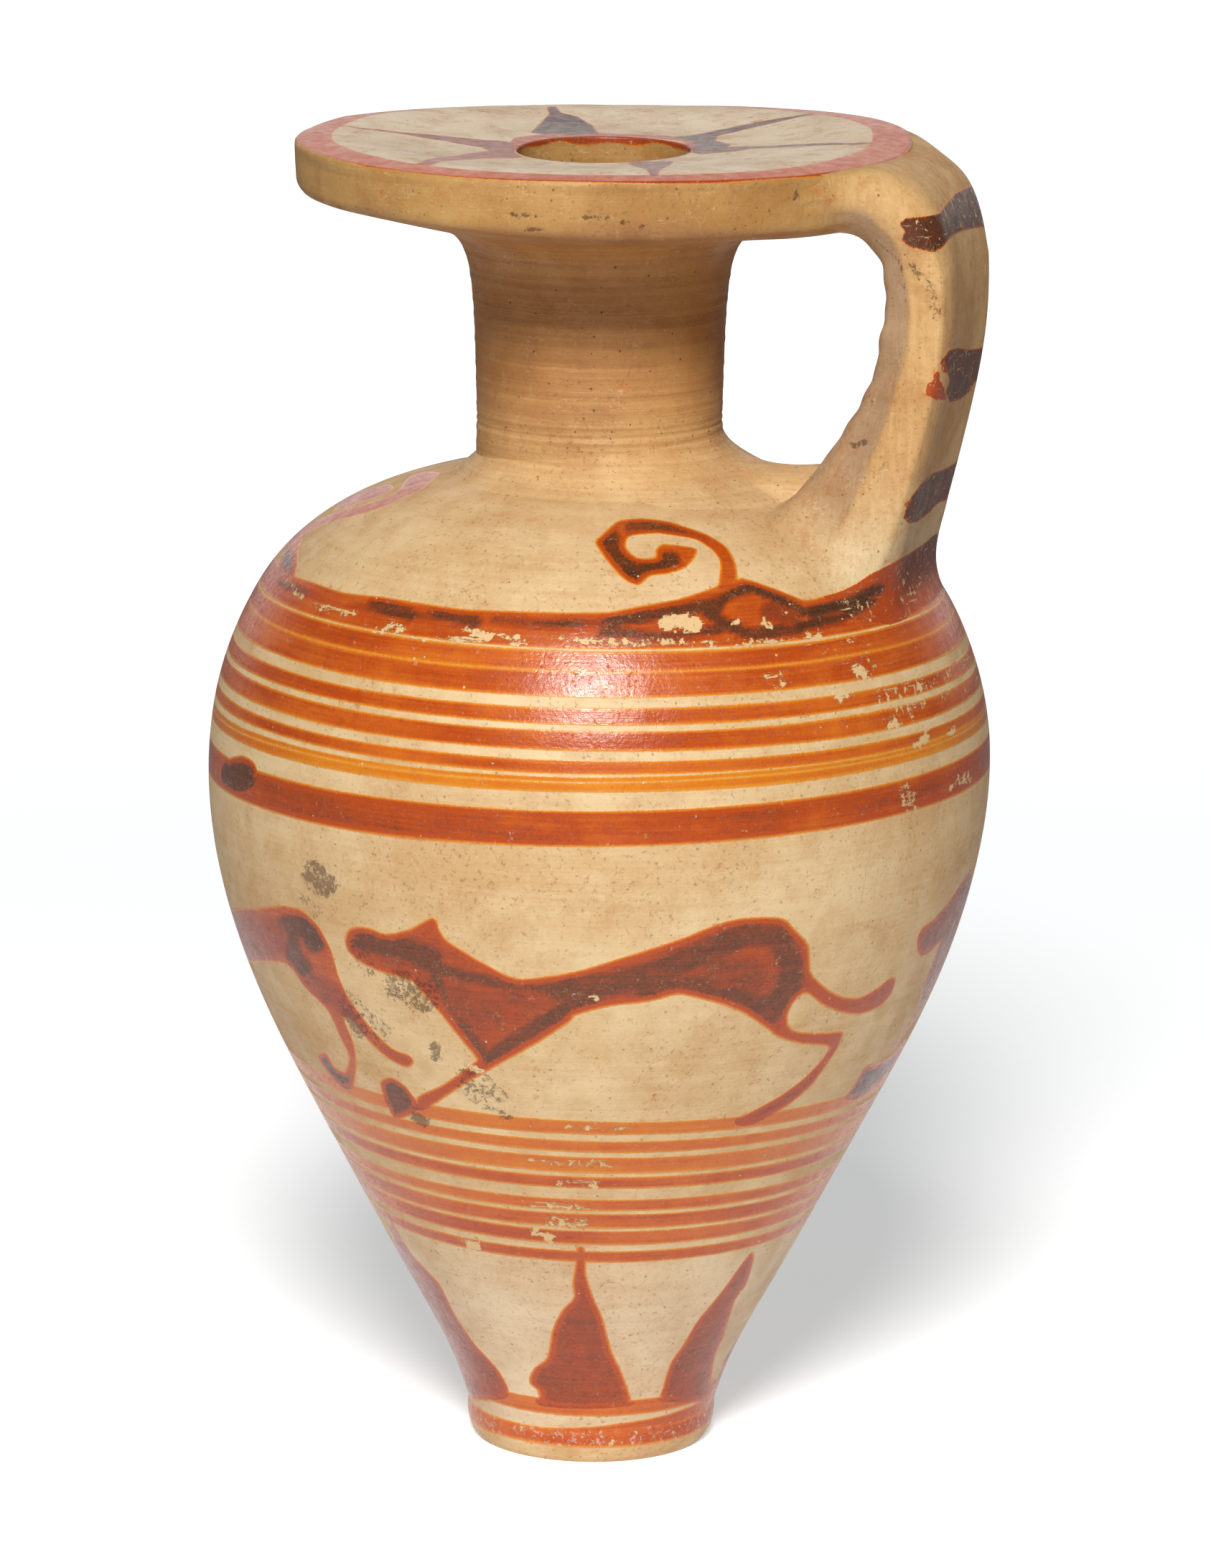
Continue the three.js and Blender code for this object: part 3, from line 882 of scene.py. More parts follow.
def brushedSlipGroup():
    tree, here, given, out = newGroup("brushedSlip", {
        "Distance": -1.0, "Thickness": 0.45, "Wear": 0.1, "Soot and shade": 0.0, "Chalk": 0.1, "Rim": 0.32,
        "Thin edge": 0.2, "Streaks": 0.0, "Dull": 0.0, "Clay": clay["lit"], "Clay roughness": 0.6,
        "Clay height": 0.0}, ["Color", "Roughness", "Height"])
    edge, middle = slip["edge"], slip["pooling"]
    noise = {name: cloud(here, *numbers) - 0.5 for name, numbers in slip["noise"].items()}

    def pulled(name, key):
        # a noise's mask, which grows with one of the inputs
        return ease(noise[name] + given[key] * slip["pull"][name], *edge[name])

    inside = given["Distance"] + sum(noise[name] * far for name, far in slip["wander"].items())
    cover = ease(inside, *edge["cover"])
    # thick slip stays back from the edge, thin slip shows there as an orange rim
    amount = given["Thickness"] + sum(noise[name] * share for name, share in slip["uneven"].items())
    amount = amount + noise["grainy"] * ease(amount, *edge["mottle"]) + noise["streaks"] * given["Streaks"]
    pooled = larger(amount - middle, 0.0)
    rimEnd = given["Rim"] * slip["rimEnd"][0] + slip["rimEnd"][1]
    deep = ease(inside + noise["grainy"] * slip["ragged"], given["Rim"], rimEnd)
    total = (amount - pooled) * ease(inside, 0.0, given["Thin edge"]) + pooled * deep
    shades = place(tree, "ValToRGB", {0: total})
    stops = shades.color_ramp.elements
    while len(stops) < len(slip["ramp"]):
        stops.new(middle)
    for stop, (at, shade) in zip(stops, slip["ramp"]):
        stop.position, stop.color = at, shade
    craze = hairlines(here, *slip["crazing"]) * ease(total, *edge["craze"])
    color = tint(craze, Value(shades.outputs[0]), slip["bare"])
    # flakes, short dry streaks along the wheel, and pin holes
    gone = larger(larger(pulled("flaky", "Wear"), pulled("dry", "Wear")), spots(here, *slip["pinHoles"]))
    left = cover * (1.0 - gone)
    color = tint(left, tint(cover * gone * slip["bareShade"], given["Clay"], slip["bare"]), color)
    color = tint(pulled("chalky", "Chalk") * left, color, slip["chalk"])
    dirty = pulled("sooty", "Soot and shade") * ease(given["Soot and shade"], *edge["sootFrom"])
    color = tint(dirty * slip["sootShade"], color, slip["soot"])
    polish = ease(noise["brushy"], *edge["polish"]) + given["Dull"]
    connect(out, {
        "Color": color, "Roughness": given["Clay roughness"] + left * (polish - given["Clay roughness"]),
        "Height": given["Clay height"] + left * slip["height"] + dirty * slip["sootHeight"]})
    return tree


bands = {
    # from, to, slip thickness and tilt across the picture: the upper group, the thick band, the lower group,
    # the rays' base and the foot
    "edges": [
        (48.02, 49.08, 0.44, 0), (46.74, 48.07, 0.44, 0), (45.38, 46.24, 0.42, 0), (44.03, 45.10, 0.46, 0),
        (42.86, 43.58, 0.38, 0), (42.42, 42.72, 0.2, -0.01), (41.9, 42.44, 0.19, -0.01),
        (38.97, 40.98, 0.52, -0.02), (21.88, 22.80, 0.26, 0.022), (20.75, 21.47, 0.34, 0.022),
        (19.37, 20.42, 0.26, 0.022), (18.37, 19.19, 0.42, 0.022), (16.90, 17.63, 0.38, 0.022),
        (15.75, 16.72, 0.44, 0.022), (14.65, 15.60, 0.44, 0.022), (13.48, 14.29, 0.46, 0.022),
        (2.95, 3.95, 0.36, 0), (0.95, 2.05, 0.46, 0), (1.4, 2.3, 0.44, -0.09)],
    "wave": 0.3,
    "slip": 0.3,
    # noises that bend the lines and change their slip, as the clay's
    "drift": (1.0, 2, 0.5, (0.045, 0.045, 1.1)),
    "cloudy": (1.0, 2, 0.5, (0.09, 0.09, 0.7)), "cloudiness": 0.5,
}


def turnedBandsGroup():
    tree, here, given, out = newGroup("turnedBands", {"Wave": bands["wave"]}, ["Distance", "Thickness"])
    height = heightOf(here) + (cloud(here, *bands["drift"]) - 0.5) * given["Wave"]
    across = alongAxis(here, camRight)
    nearest, thickness = paint["outside"], bands["slip"]
    for low, high, amount, tilt in bands["edges"]:
        tilted = height + across * tilt if tilt else height
        inside = (high - low) / 2 - abs(tilted - (low + high) / 2)
        thickness = thickness + (inside > nearest) * (amount - thickness)
        nearest = larger(inside, nearest)
    thickness = thickness + (cloud(here, *bands["cloudy"]) - 0.5) * bands["cloudiness"]
    connect(out, {"Distance": nearest, "Thickness": thickness})
    return tree


groups = {"clay": firedClayGroup(), "slip": brushedSlipGroup(), "bands": turnedBandsGroup()}
finish = {"gloss": 0.43, "figureEdge": 0.06}
slipLayers = {"figure": "Distance", "tone": "Thickness", "wear": "Wear", "dirt": "Soot and shade"}


def clayFinish(name, stages, painted=(), banded=False, inputs=None, slipInputs=None):
    # stages: light and deep clay; all but the first also say where they take over, by heights or a layer;
    # painted: the mesh's layers that feed the slip; banded: with the turned bands
    material = bpy.data.materials.new(name)
    material.use_nodes = True
    tree = material.node_tree

    def layer(key):
        return result(tree, "Attribute", {}, "Fac", attribute_name=key)

    def useGroup(key, links):
        node = place(tree, "Group", links, node_tree=groups[key])
        return {socket.name: Value(socket) for socket in node.outputs}

    lit, deep = stages[0]
    for nextLit, nextDeep, *where in stages[1:]:
        share = ease(heightOf(inMillimetres(tree)), *where) if len(where) == 2 else layer(where[0])
        lit, deep = tint(share, lit, nextLit), tint(share, deep, nextDeep)
    last = useGroup("clay", {"Lit": lit, "Deep": deep, **(inputs or {})})
    if painted or banded:
        fed = {slipLayers[key]: layer(key) for key in painted}
        if banded:
            lines = useGroup("bands", {})
            if painted:
                over = ease(fed["Distance"], 0.0, finish["figureEdge"])
                lines["Thickness"] = lines["Thickness"] + over * (fed["Thickness"] - lines["Thickness"])
                lines["Distance"] = larger(fed["Distance"], lines["Distance"])
            fed.update(Distance=lines["Distance"], Thickness=lines["Thickness"])
        last = useGroup("slip", {
            "Clay": last["Color"], "Clay roughness": last["Roughness"], "Clay height": last["Height"],
            **(slipInputs or {}), **fed})
    bump = result(tree, "Bump", {"Strength": 1.0, "Distance": mm, "Height": last["Height"]})
    connect(tree.nodes["Principled BSDF"], {
        "Base Color": last["Color"], "Roughness": last["Roughness"], "Normal": bump,
        "Specular IOR Level": finish["gloss"]})
    return material


print("finishes ready")


# Body: one closed shell with its hollow
def makeBody():
    def gapAt(middle):
        r, z = middle.T
        frieze = (z > body["friezeLow"]) & (z < body["friezeHigh"])
        shoulder = (z > body["shoulderLow"]) & (r > lutingHigh[0])
        return np.where(frieze, body["friezeGap"], np.where(shoulder, body["shoulderGap"], body["plainGap"]))

    outer = spaced(bodyFine, gapAt)
    floorTop, bore = footHigh[2] + body["floor"], body["bore"]
    normal = np.gradient(bodyFine, axis=0)
    normal /= np.linalg.norm(normal, axis=1)[:, None]
    inner = bodyFine + np.stack([-normal[:, 1], normal[:, 0]], 1) * body["wall"]
    inner = inner[(inner[:, 1] > floorTop + body["wall"] / 2) & (inner[:, 0] > bore + body["boreMargin"])]
    lining = spline([
        (body["floorFlat"], floorTop), (inner[0, 0] * body["floorShare"], floorTop + body["floorRise"]),
        *inner[::body["liningEvery"]], inner[-1], (bore, inner[-1, 1] + body["boreRise"]),
    ], body["liningSteps"])[::-1]
    rings = turnedRings([(0, footHigh[2]), (footHigh[0] * 0.5, footHigh[2])], body["innerColumns"])
    rings += turnedRings(outer, body["columns"])
    rings += turnedRings(
        [(bore, bodyHigh[2] - body["seam"]), *lining, (0, floorTop)], body["innerColumns"])
    mesh, points = skin("bodyShell", shaped(rings), sharpRings=[2, 1 + len(outer)])
    outside = radiusOf(points) > bodyRadius(points[:, 2]) - body["paintedWall"]
    layers = np.zeros((4, len(points)))
    layers[0] = paint["outside"]
    layers[:, outside] = paintBody(points[outside])
    record(mesh, **dict(zip(("figure", "tone", "wear", "dirt"), layers)))
    return mesh


paleClay = (clay["lit"], clay["deep"])
# the body's clay is paler below 9 mm and blends into the plain clay by 18 mm: painted reflection of the floor
paintedClay = clayFinish(
    "paintedClay", [clay["low"], (*paleClay, 9.0, 18.0), clay["body"]], slipLayers, banded=True,
    slipInputs={"Streaks": 0.3})
keep(makeBody(), paintedClay, "body")


# Foot: low turned disc with a bevelled bare edge, hollowed a little where it was cut off the wheel
foot = {
    "bevel": 0.8, "baseRadius": 6.5, "flare": 0.2, "round": 0.1, "sideSteps": 16, "columns": 224,
    "hollow": 0.22, "hollowShares": (0, 0.2, 0.4, 0.6, 0.75, 0.88),
}


def makeFoot():
    base, bevel, high, top = foot["baseRadius"], foot["bevel"], footHigh[2], footHigh[0]
    outline = [(base * s, foot["hollow"] * (1 - s ** 3)) for s in foot["hollowShares"]]
    outline += [(base - foot["round"], 0), *spline([
        (base, 0), (base + foot["flare"], bevel * 0.3), (top - foot["round"], bevel), (top, bevel * 1.8),
        (top, high)], foot["sideSteps"]), (top * 0.5, high), (0, high)]
    rings = shaped(turnedRings(outline, foot["columns"]))
    return skin("footDisc", rings, sharpRings=[len(outline) - 3])[0]


footFinish = clayFinish("footClay", [paleClay], banded=True, slipInputs={"Wear": 0.3, "Chalk": 0.45})
keep(makeFoot(), footFinish, "foot")


# Neck: a waisted tube that flares along the disc's underside, with the potter's lines
neck = {
    "bore": 4.8, "waist": 6.75, "waistHeight": 58.4, "foot": 0.3, "flare": [
        (6.77, 61.3), (6.87, 64.4), (7.05, 66.4), (7.27, 67.5), (7.62, 68.3), (8.05, 68.8), (8.7, 69.15),
        (9.8, 69.58)],
    "columns": 288, "gap": 0.12, "innerSteps": 12,
    # throwing lines: pace up the neck, phase and share of their size; they fade between two heights
    "lines": [(5.3, 1.0, 0.5), (8.9, 0.4, 0.35), (14.2, 0.0, 0.25)], "lineSize": 0.018, "fade": (68.6, 67.1),
    "grooves": [(58.35, 0.07), (58.75, 0.05), (59.5, 0.03)], "grooveHalf": 0.09,
}


def makeNeck():
    low = lutingLow[2] + neck["foot"]
    line = spline([(neck["waist"] + 0.1, low), (neck["waist"], neck["waistHeight"]), *neck["flare"]], 600)
    line = spaced(line, neck["gap"])
    z = line[:, 1].copy()
    waves = sum(np.sin(z * pace + phase) * share for pace, phase, share in neck["lines"])
    grooves = sum(depth * np.exp(-((z - at) / neck["grooveHalf"]) ** 2) for at, depth in neck["grooves"])
    line[:, 0] += waves * neck["lineSize"] * ramp(z, *neck["fade"]) - grooves
    bore = [(neck["bore"], height) for height in np.linspace(z[-1], low, neck["innerSteps"])]
    rings = shaped(turnedRings([*line, *bore], neck["columns"]))
    sharp = [0, len(line) - 1, len(line), len(rings) - 1]
    return skin("neckTube", rings, closedLoop=True, sharpRings=sharp)[0]


neckFinish = clayFinish(
    "neckClay", [paleClay, clay["body"], clay["neck"]],
    inputs={"Wheel lines": 0.9, "Pits": 0.9, "Grime": 0.5})
keep(makeNeck(), neckFinish, "neck")


# Neck fillet: clay smoothed into the corner between shoulder and neck, carried on to the handle
fillet = {
    "height": (1.0, 2.3), "spread": (1.8, 3.2), "foot": 7.0, "corner": 7.6, "cornerSpread": 0.12,
    "steps": 26, "columns": 320, "sink": 0.06, "bore": 5.6, "topDrop": 0.6, "lowDrop": 0.5,
    # the saddle before the handle: half its width in degrees, then its line from the handle to the neck
    "saddleTurn": 40.0, "reachTurn": 60.0, "footTurn": 17.0,
    "saddle": [(14.8, 57.0), (11.0, 55.95), (7.1, 55.9), (6.7, 58.2)],
}


def makeFillet():
    angle = wrapped(np.arange(fillet["columns"]) * 360 / fillet["columns"])
    towards = 0.5 + 0.5 * np.cos(np.radians(angle))
    height, spread = (a + (b - a) * towards for a, b in (fillet["height"], fillet["spread"]))
    edge, corner = fillet["foot"] + spread, fillet["corner"] + spread * fillet["cornerSpread"]
    radii = [edge, corner + (edge - corner) / 3, corner + (neck["waist"] - corner) / 3,
             neck["waist"] - fillet["sink"]]
    # at its sides the saddle runs down on to the shoulder, along the handle's root
    away = np.abs(angle)
    weight = (1 - ramp(away, 0, fillet["saddleTurn"]) ** 2) ** 2
    reach = 1 - ramp(away, 0, fillet["reachTurn"]) ** 3
    footWeight = 1 - ramp(away, 0, fillet["footTurn"]) ** 2
    radii = [r + (saddle[0] - r) * reach for r, saddle in zip(radii, fillet["saddle"])]
    heights = [shoulderHeight(radii[0]) - fillet["sink"], shoulderHeight(radii[1]),
               bodyHigh[2] + height / 3, bodyHigh[2] + height]
    weights = (footWeight, weight, weight, weight)
    heights = [z + (saddle[1] - z) * w for z, saddle, w in zip(heights, fillet["saddle"], weights)]
    rings = []
    for t in np.linspace(0, 1, fillet["steps"]):
        r, z = bezier(*radii, t), bezier(*heights, t)
        rings.append(ring(r, np.maximum(z, shoulderHeight(r) - fillet["sink"]), fillet["columns"]))
    inside = bodyHigh[2] + fillet["height"][1] - fillet["topDrop"], lutingLow[2] - fillet["lowDrop"]
    rings += turnedRings([(fillet["bore"], z) for z in inside], fillet["columns"])
    return skin("neckFillet", shaped(rings), closedLoop=True, sharpRings=[0, fillet["steps"] - 1])[0]


keep(makeFillet(), neckFinish, "neck_luting")


# Mouth disc: dished top, soft uneven rim, painted with a ring and a star of strokes
disc = {
    "bore": 4.7, "dish": 0.35, "rimHeight": 2.8, "mouthRound": 0.12, "rimRound": 0.12, "lowerRound": 0.75,
    "crest": (15.1, 0.2),  # the face falls from here to its edge
    # how much lower the rim's underside hangs near the handle, by angle about the axis
    "sag": [(-180, 0), (-125, 0.05), (-108, 0.12), (-92, 0.34), (-74, 0.5), (-47, 0.44), (-39, 0.46),
            (-30, 0.58), (-10, 0.75), (40, 0.6), (80, 0), (180, 0)],
    # how much the rim stands higher than level, by angle about the axis
    "lift": [(-180, 0.08), (-120, 0.0), (-35, 0.0), (0, 0.2), (24, 0.6), (42, 0.6), (60, 0.55), (74, 0.46),
             (80, 0.4), (90, 0.22), (105, 0.04), (123, -0.06), (135, 0.0), (148, 0.12), (165, 0.26),
             (177, 0.12), (180, 0.08)],
    # where these act: radii, then heights, from none to full
    "liftRadii": (8, 17), "liftHeights": (70.8, 73.2), "sagRadii": (8, 14), "sagHeights": (72.6, 71.0),
    "tiltRadii": (10, 5), "tiltHeights": (72.4, 73.2), "mouthTilt": 0.13,
    "pressRadii": (15.5, 17.0), "pressDepths": (0.25, 0.75), "press": 0.09,
    # its waves: how many go round, turn with the height, phase and size
    "pressWaves": [(5, 0, 1, 0.5), (11, 1.6, 0, 0.35), (23, 0, 2, 0.15)],
    "lowestTurn": -62, "arcSteps": (9, 7, 6), "boreSteps": 6,
    "columns": 336, "gap": 0.2, "underRadius": 12.2, "underSteps": 14,
    "rimClay": (linear(190, 149, 88), linear(162, 115, 58)),
    # the top face is paler: painted light and sheen falling on it from above
    "topSheenClay": (linear(224, 206, 178), linear(210, 186, 156), "face"),
    # below the rim's lower edge the underside is darker: painted shade under the overhanging rim
    "underShadeClay": (linear(178, 132, 82), linear(150, 102, 58), "under"),
    "underShadeHeights": (72.0, 71.5), "underShadeRadii": (16.82, 16.66),
    "tone": 0.42, "mouthTone": 0.62, "rimTone": 0.6, "lipPaint": 0.62, "lipOver": 0.14, "lipDepth": 2.5,
    "rimPaint": -0.2, "sideFrom": 16.0, "strokeEdge": 0.1, "lipWave": 0.15, "dripLeast": 0.8, "dripWave": 0.5,
    # under the ring's edge the slip ran a little over the rim, in orange: angle and how far down
    "drip": [(-180, 0), (-128, 0), (-122, 0.16), (-112, 0.02), (-80, 0.06), (-50, 0.16), (-20, 0.3),
             (-5, 0.1), (10, 0), (180, 0)],
    # marks on the rim's side, in the photograph's pixels; the last is a dark line of painted shade where the
    # underside meets the neck
    "marks": [([(700, 300), (740, 302), (790, 305), (830, 303), (880, 298)], 4, 0.8),
              ([(862, 308), (885, 313), (900, 320)], 4, 0.9),
              ([(1108, 268), (1113, 280), (1122, 285)], 8, 1.2),
              ([(740, 318), (750, 320)], 9, 1.0), ([(430, 285), (500, 290), (600, 300)], 4, 0.4),
              ([(680, 345), (800, 350), (1010, 345)], 6, 0.4)],
    # the painted ring: angle, outer radius and width
    "ring": [(-180, 17.0, 1.9), (-164, 17.0, 2.0), (-120, 17.1, 1.9), (-74, 17.1, 1.75), (-40, 17.1, 1.8),
             (-12, 17.1, 2.3), (15, 17.0, 2.3), (40, 17.0, 1.9), (90, 17.0, 1.2), (140, 17.0, 1.4),
             (180, 17.0, 1.9)],
    # the star of strokes round the mouth, in the photograph's pixels
    "strokes": [
        [(446, 175), (500, 178), (560, 184), (600, 187), (650, 192), (705, 196), (722, 203), (716, 212),
         (690, 212), (670, 204), (620, 196), (570, 188), (500, 180)],
        [(580, 230), (612, 218), (650, 212), (690, 207), (712, 209), (730, 217), (716, 219), (670, 219),
         (630, 223), (600, 231)],
        [(872, 226), (940, 226), (926, 236), (918, 244), (920, 254), (904, 254), (904, 244), (894, 236)],
        [(955, 212), (966, 205), (1000, 206), (1040, 205), (1110, 202), (1190, 200), (1262, 200),
         (1190, 203), (1110, 206), (1050, 209), (1016, 214), (975, 217)],
        [(936, 190), (968, 186), (1000, 179), (1050, 168), (1096, 161), (1130, 156), (1136, 158), (1090, 167),
         (1040, 178), (1000, 188), (998, 196), (1020, 203), (1000, 212), (968, 208), (960, 198)],
        [(738, 185), (752, 173), (764, 160), (761, 150), (775, 150), (782, 158), (806, 163), (826, 175),
         (838, 188), (800, 189)],
        [(700, 205), (716, 192), (760, 186), (840, 185), (930, 188), (965, 196), (975, 206), (962, 204),
         (948, 196), (900, 191), (830, 190), (760, 192), (722, 200), (714, 210)]],
    "thickness": [0.68, 0.62, 0.74, 0.78, 0.86, 0.92, 0.5],
}


def discFace():
    top, radius = discHigh[2], discHigh[0]
    crestAt, rise = disc["crest"]
    return spline([
        (radius - disc["rimRound"], top), (crestAt, top + rise), (radius * 0.7, top + rise * 0.3),
        (radius * 0.48, top - disc["dish"] * 0.75), (disc["bore"] + disc["mouthRound"], top - disc["dish"]),
    ], 400)


def discOutline():
    top, radius, low = discHigh[2], discHigh[0], discLow[2]
    lowerRound, rimRound, mouthRound = disc["lowerRound"], disc["rimRound"], disc["mouthRound"]
    lowSteps, highSteps, mouthSteps = disc["arcSteps"]
    lowCentre = radius - lowerRound, top - disc["rimHeight"] + lowerRound
    lower = arc(lowCentre, lowerRound, disc["lowestTurn"], 0, lowSteps)
    upper = arc((radius - rimRound, top - rimRound), rimRound, 0, 90, highSteps)
    mouth = arc((disc["bore"] + mouthRound, top - disc["dish"] - mouthRound), mouthRound, 90, 180, mouthSteps)
    under = spline([(neckHigh[0] - 0.6, low), (disc["underRadius"], (low + lower[0, 1]) / 2), lower[0]],
                   disc["underSteps"])
    bore = [(disc["bore"], z) for z in np.linspace(mouth[-1, 1], low, disc["boreSteps"])][1:]
    rim = spaced(spline([*under[:-1], *lower, *upper], 500), disc["gap"])
    face = spaced(discFace(), disc["gap"])
    return np.array([*rim, *face[1:], *mouth[1:], *bore]), len(rim), len(rim) + len(face)


def unevenRim(points):
    angle, radius, z = angleOf(points), radiusOf(points), points[:, 2]

    def acting(name, power=1.0):
        return ramp(radius, *disc[name + "Radii"]) ** power * ramp(z, *disc[name + "Heights"])

    moved = points.copy()
    moved[:, 2] += follow(disc["lift"], angle) * acting("lift", 1.3)
    moved[:, 2] -= follow(disc["sag"], angle) * acting("sag")
    moved[:, 2] -= disc["mouthTilt"] * np.cos(np.radians(angle - facing)) * acting("tilt")
    # the rim's side was pressed in here and there by the fingers
    side = ramp(radius, *disc["pressRadii"]) * ramp(discHigh[2] - z, *disc["pressDepths"])
    turn = np.radians(angle)
    waves = sum(
        np.sin(turn * count + z * rise + phase) * size for count, rise, phase, size in disc["pressWaves"])
    moved[:, :2] *= (1 - disc["press"] * (1 + waves) * side / np.maximum(radius, 1))[:, None]
    return moved


def onDiscTop(u, v):
    ray, face = pixelRay(u, v), discFace()[::-1]
    point = eye + ray * (discHigh[2] - eye[2]) / ray[2]
    for _ in range(12):
        height = follow(face, math.hypot(point[0], point[1]))
        height = unevenRim(np.array([[point[0], point[1], height]]))[0, 2]
        point = (point + eye + ray * (height - eye[2]) / ray[2]) / 2
    return point[:2]


def makeDisc():
    outline, faceStart, faceEnd = discOutline()
    rings = shaped(turnedRings(outline, disc["columns"]), unevenRim)
    mesh, points = skin("mouthDisc", rings, closedLoop=True)
    angle, radius, z = angleOf(points), radiusOf(points), points[:, 2]
    outer, width = (follow(disc["ring"], angle, column) for column in (1, 2))
    painted = np.maximum(paint["outside"], np.minimum(outer - radius, radius - outer + width))
    tone = np.full(len(points), disc["tone"])
    for stroke, thickness in zip(disc["strokes"], disc["thickness"]):
        corners = np.array([onDiscTop(u, v) for u, v in stroke])
        distance = insideBy(points[:, :2], corners, points[:, :2], corners)
        tone[(distance > painted) & (distance > -disc["strokeEdge"])] = thickness
        painted = np.maximum(painted, distance)
    lip = disc["bore"] + disc["mouthRound"]
    painted = np.maximum(painted, lip + disc["lipOver"] - radius)
    order = np.repeat(np.arange(len(rings)), disc["columns"])
    onFace = (order >= faceStart) & (order < faceEnd)
    onRim = (radius > disc["sideFrom"]) & ~onFace
    inMouth = (radius < lip + 0.05) & (z > discHigh[2] - disc["lipDepth"])
    wave = np.sin(np.radians(angle) * 7) * np.sin(np.radians(angle) * 3 + 1)
    lipPaint = z - discHigh[2] + disc["lipPaint"] + disc["lipWave"] * wave
    drip = follow(disc["drip"], angle) * (disc["dripLeast"] + disc["dripWave"] * wave)
    drip = drip - (discHigh[2] - outline[order, 1])
    painted = np.where(onFace, painted, np.where(inMouth, lipPaint, np.minimum(painted, disc["rimPaint"])))
    # the layer under marks the painted shade below the rim's lower edge
    record(
        mesh, figure=np.where(onRim, np.maximum(painted, drip), painted),
        tone=np.where(inMouth, disc["mouthTone"], np.where(onRim, disc["rimTone"], tone)),
        dirt=strokeSum(toPixels(points), disc["marks"]) * ~onFace * facesCamera(points, 90), face=onFace,
        under=ramp(z, *disc["underShadeHeights"]) * ramp(radius, *disc["underShadeRadii"]))
    return mesh


discFinish = clayFinish(
    "discClay", [disc["rimClay"], disc["topSheenClay"], disc["underShadeClay"]], ("figure", "tone", "dirt"),
    inputs={"Pits": 0.7, "Grime": 0.7, "Wheel lines": 0.3, "Blotches": 0.4},
    slipInputs={"Wear": 0.1, "Chalk": 0.2, "Rim": 0.05, "Thin edge": 0.08, "Dull": 0.1})
keep(makeDisc(), discFinish, "mouth_disc")


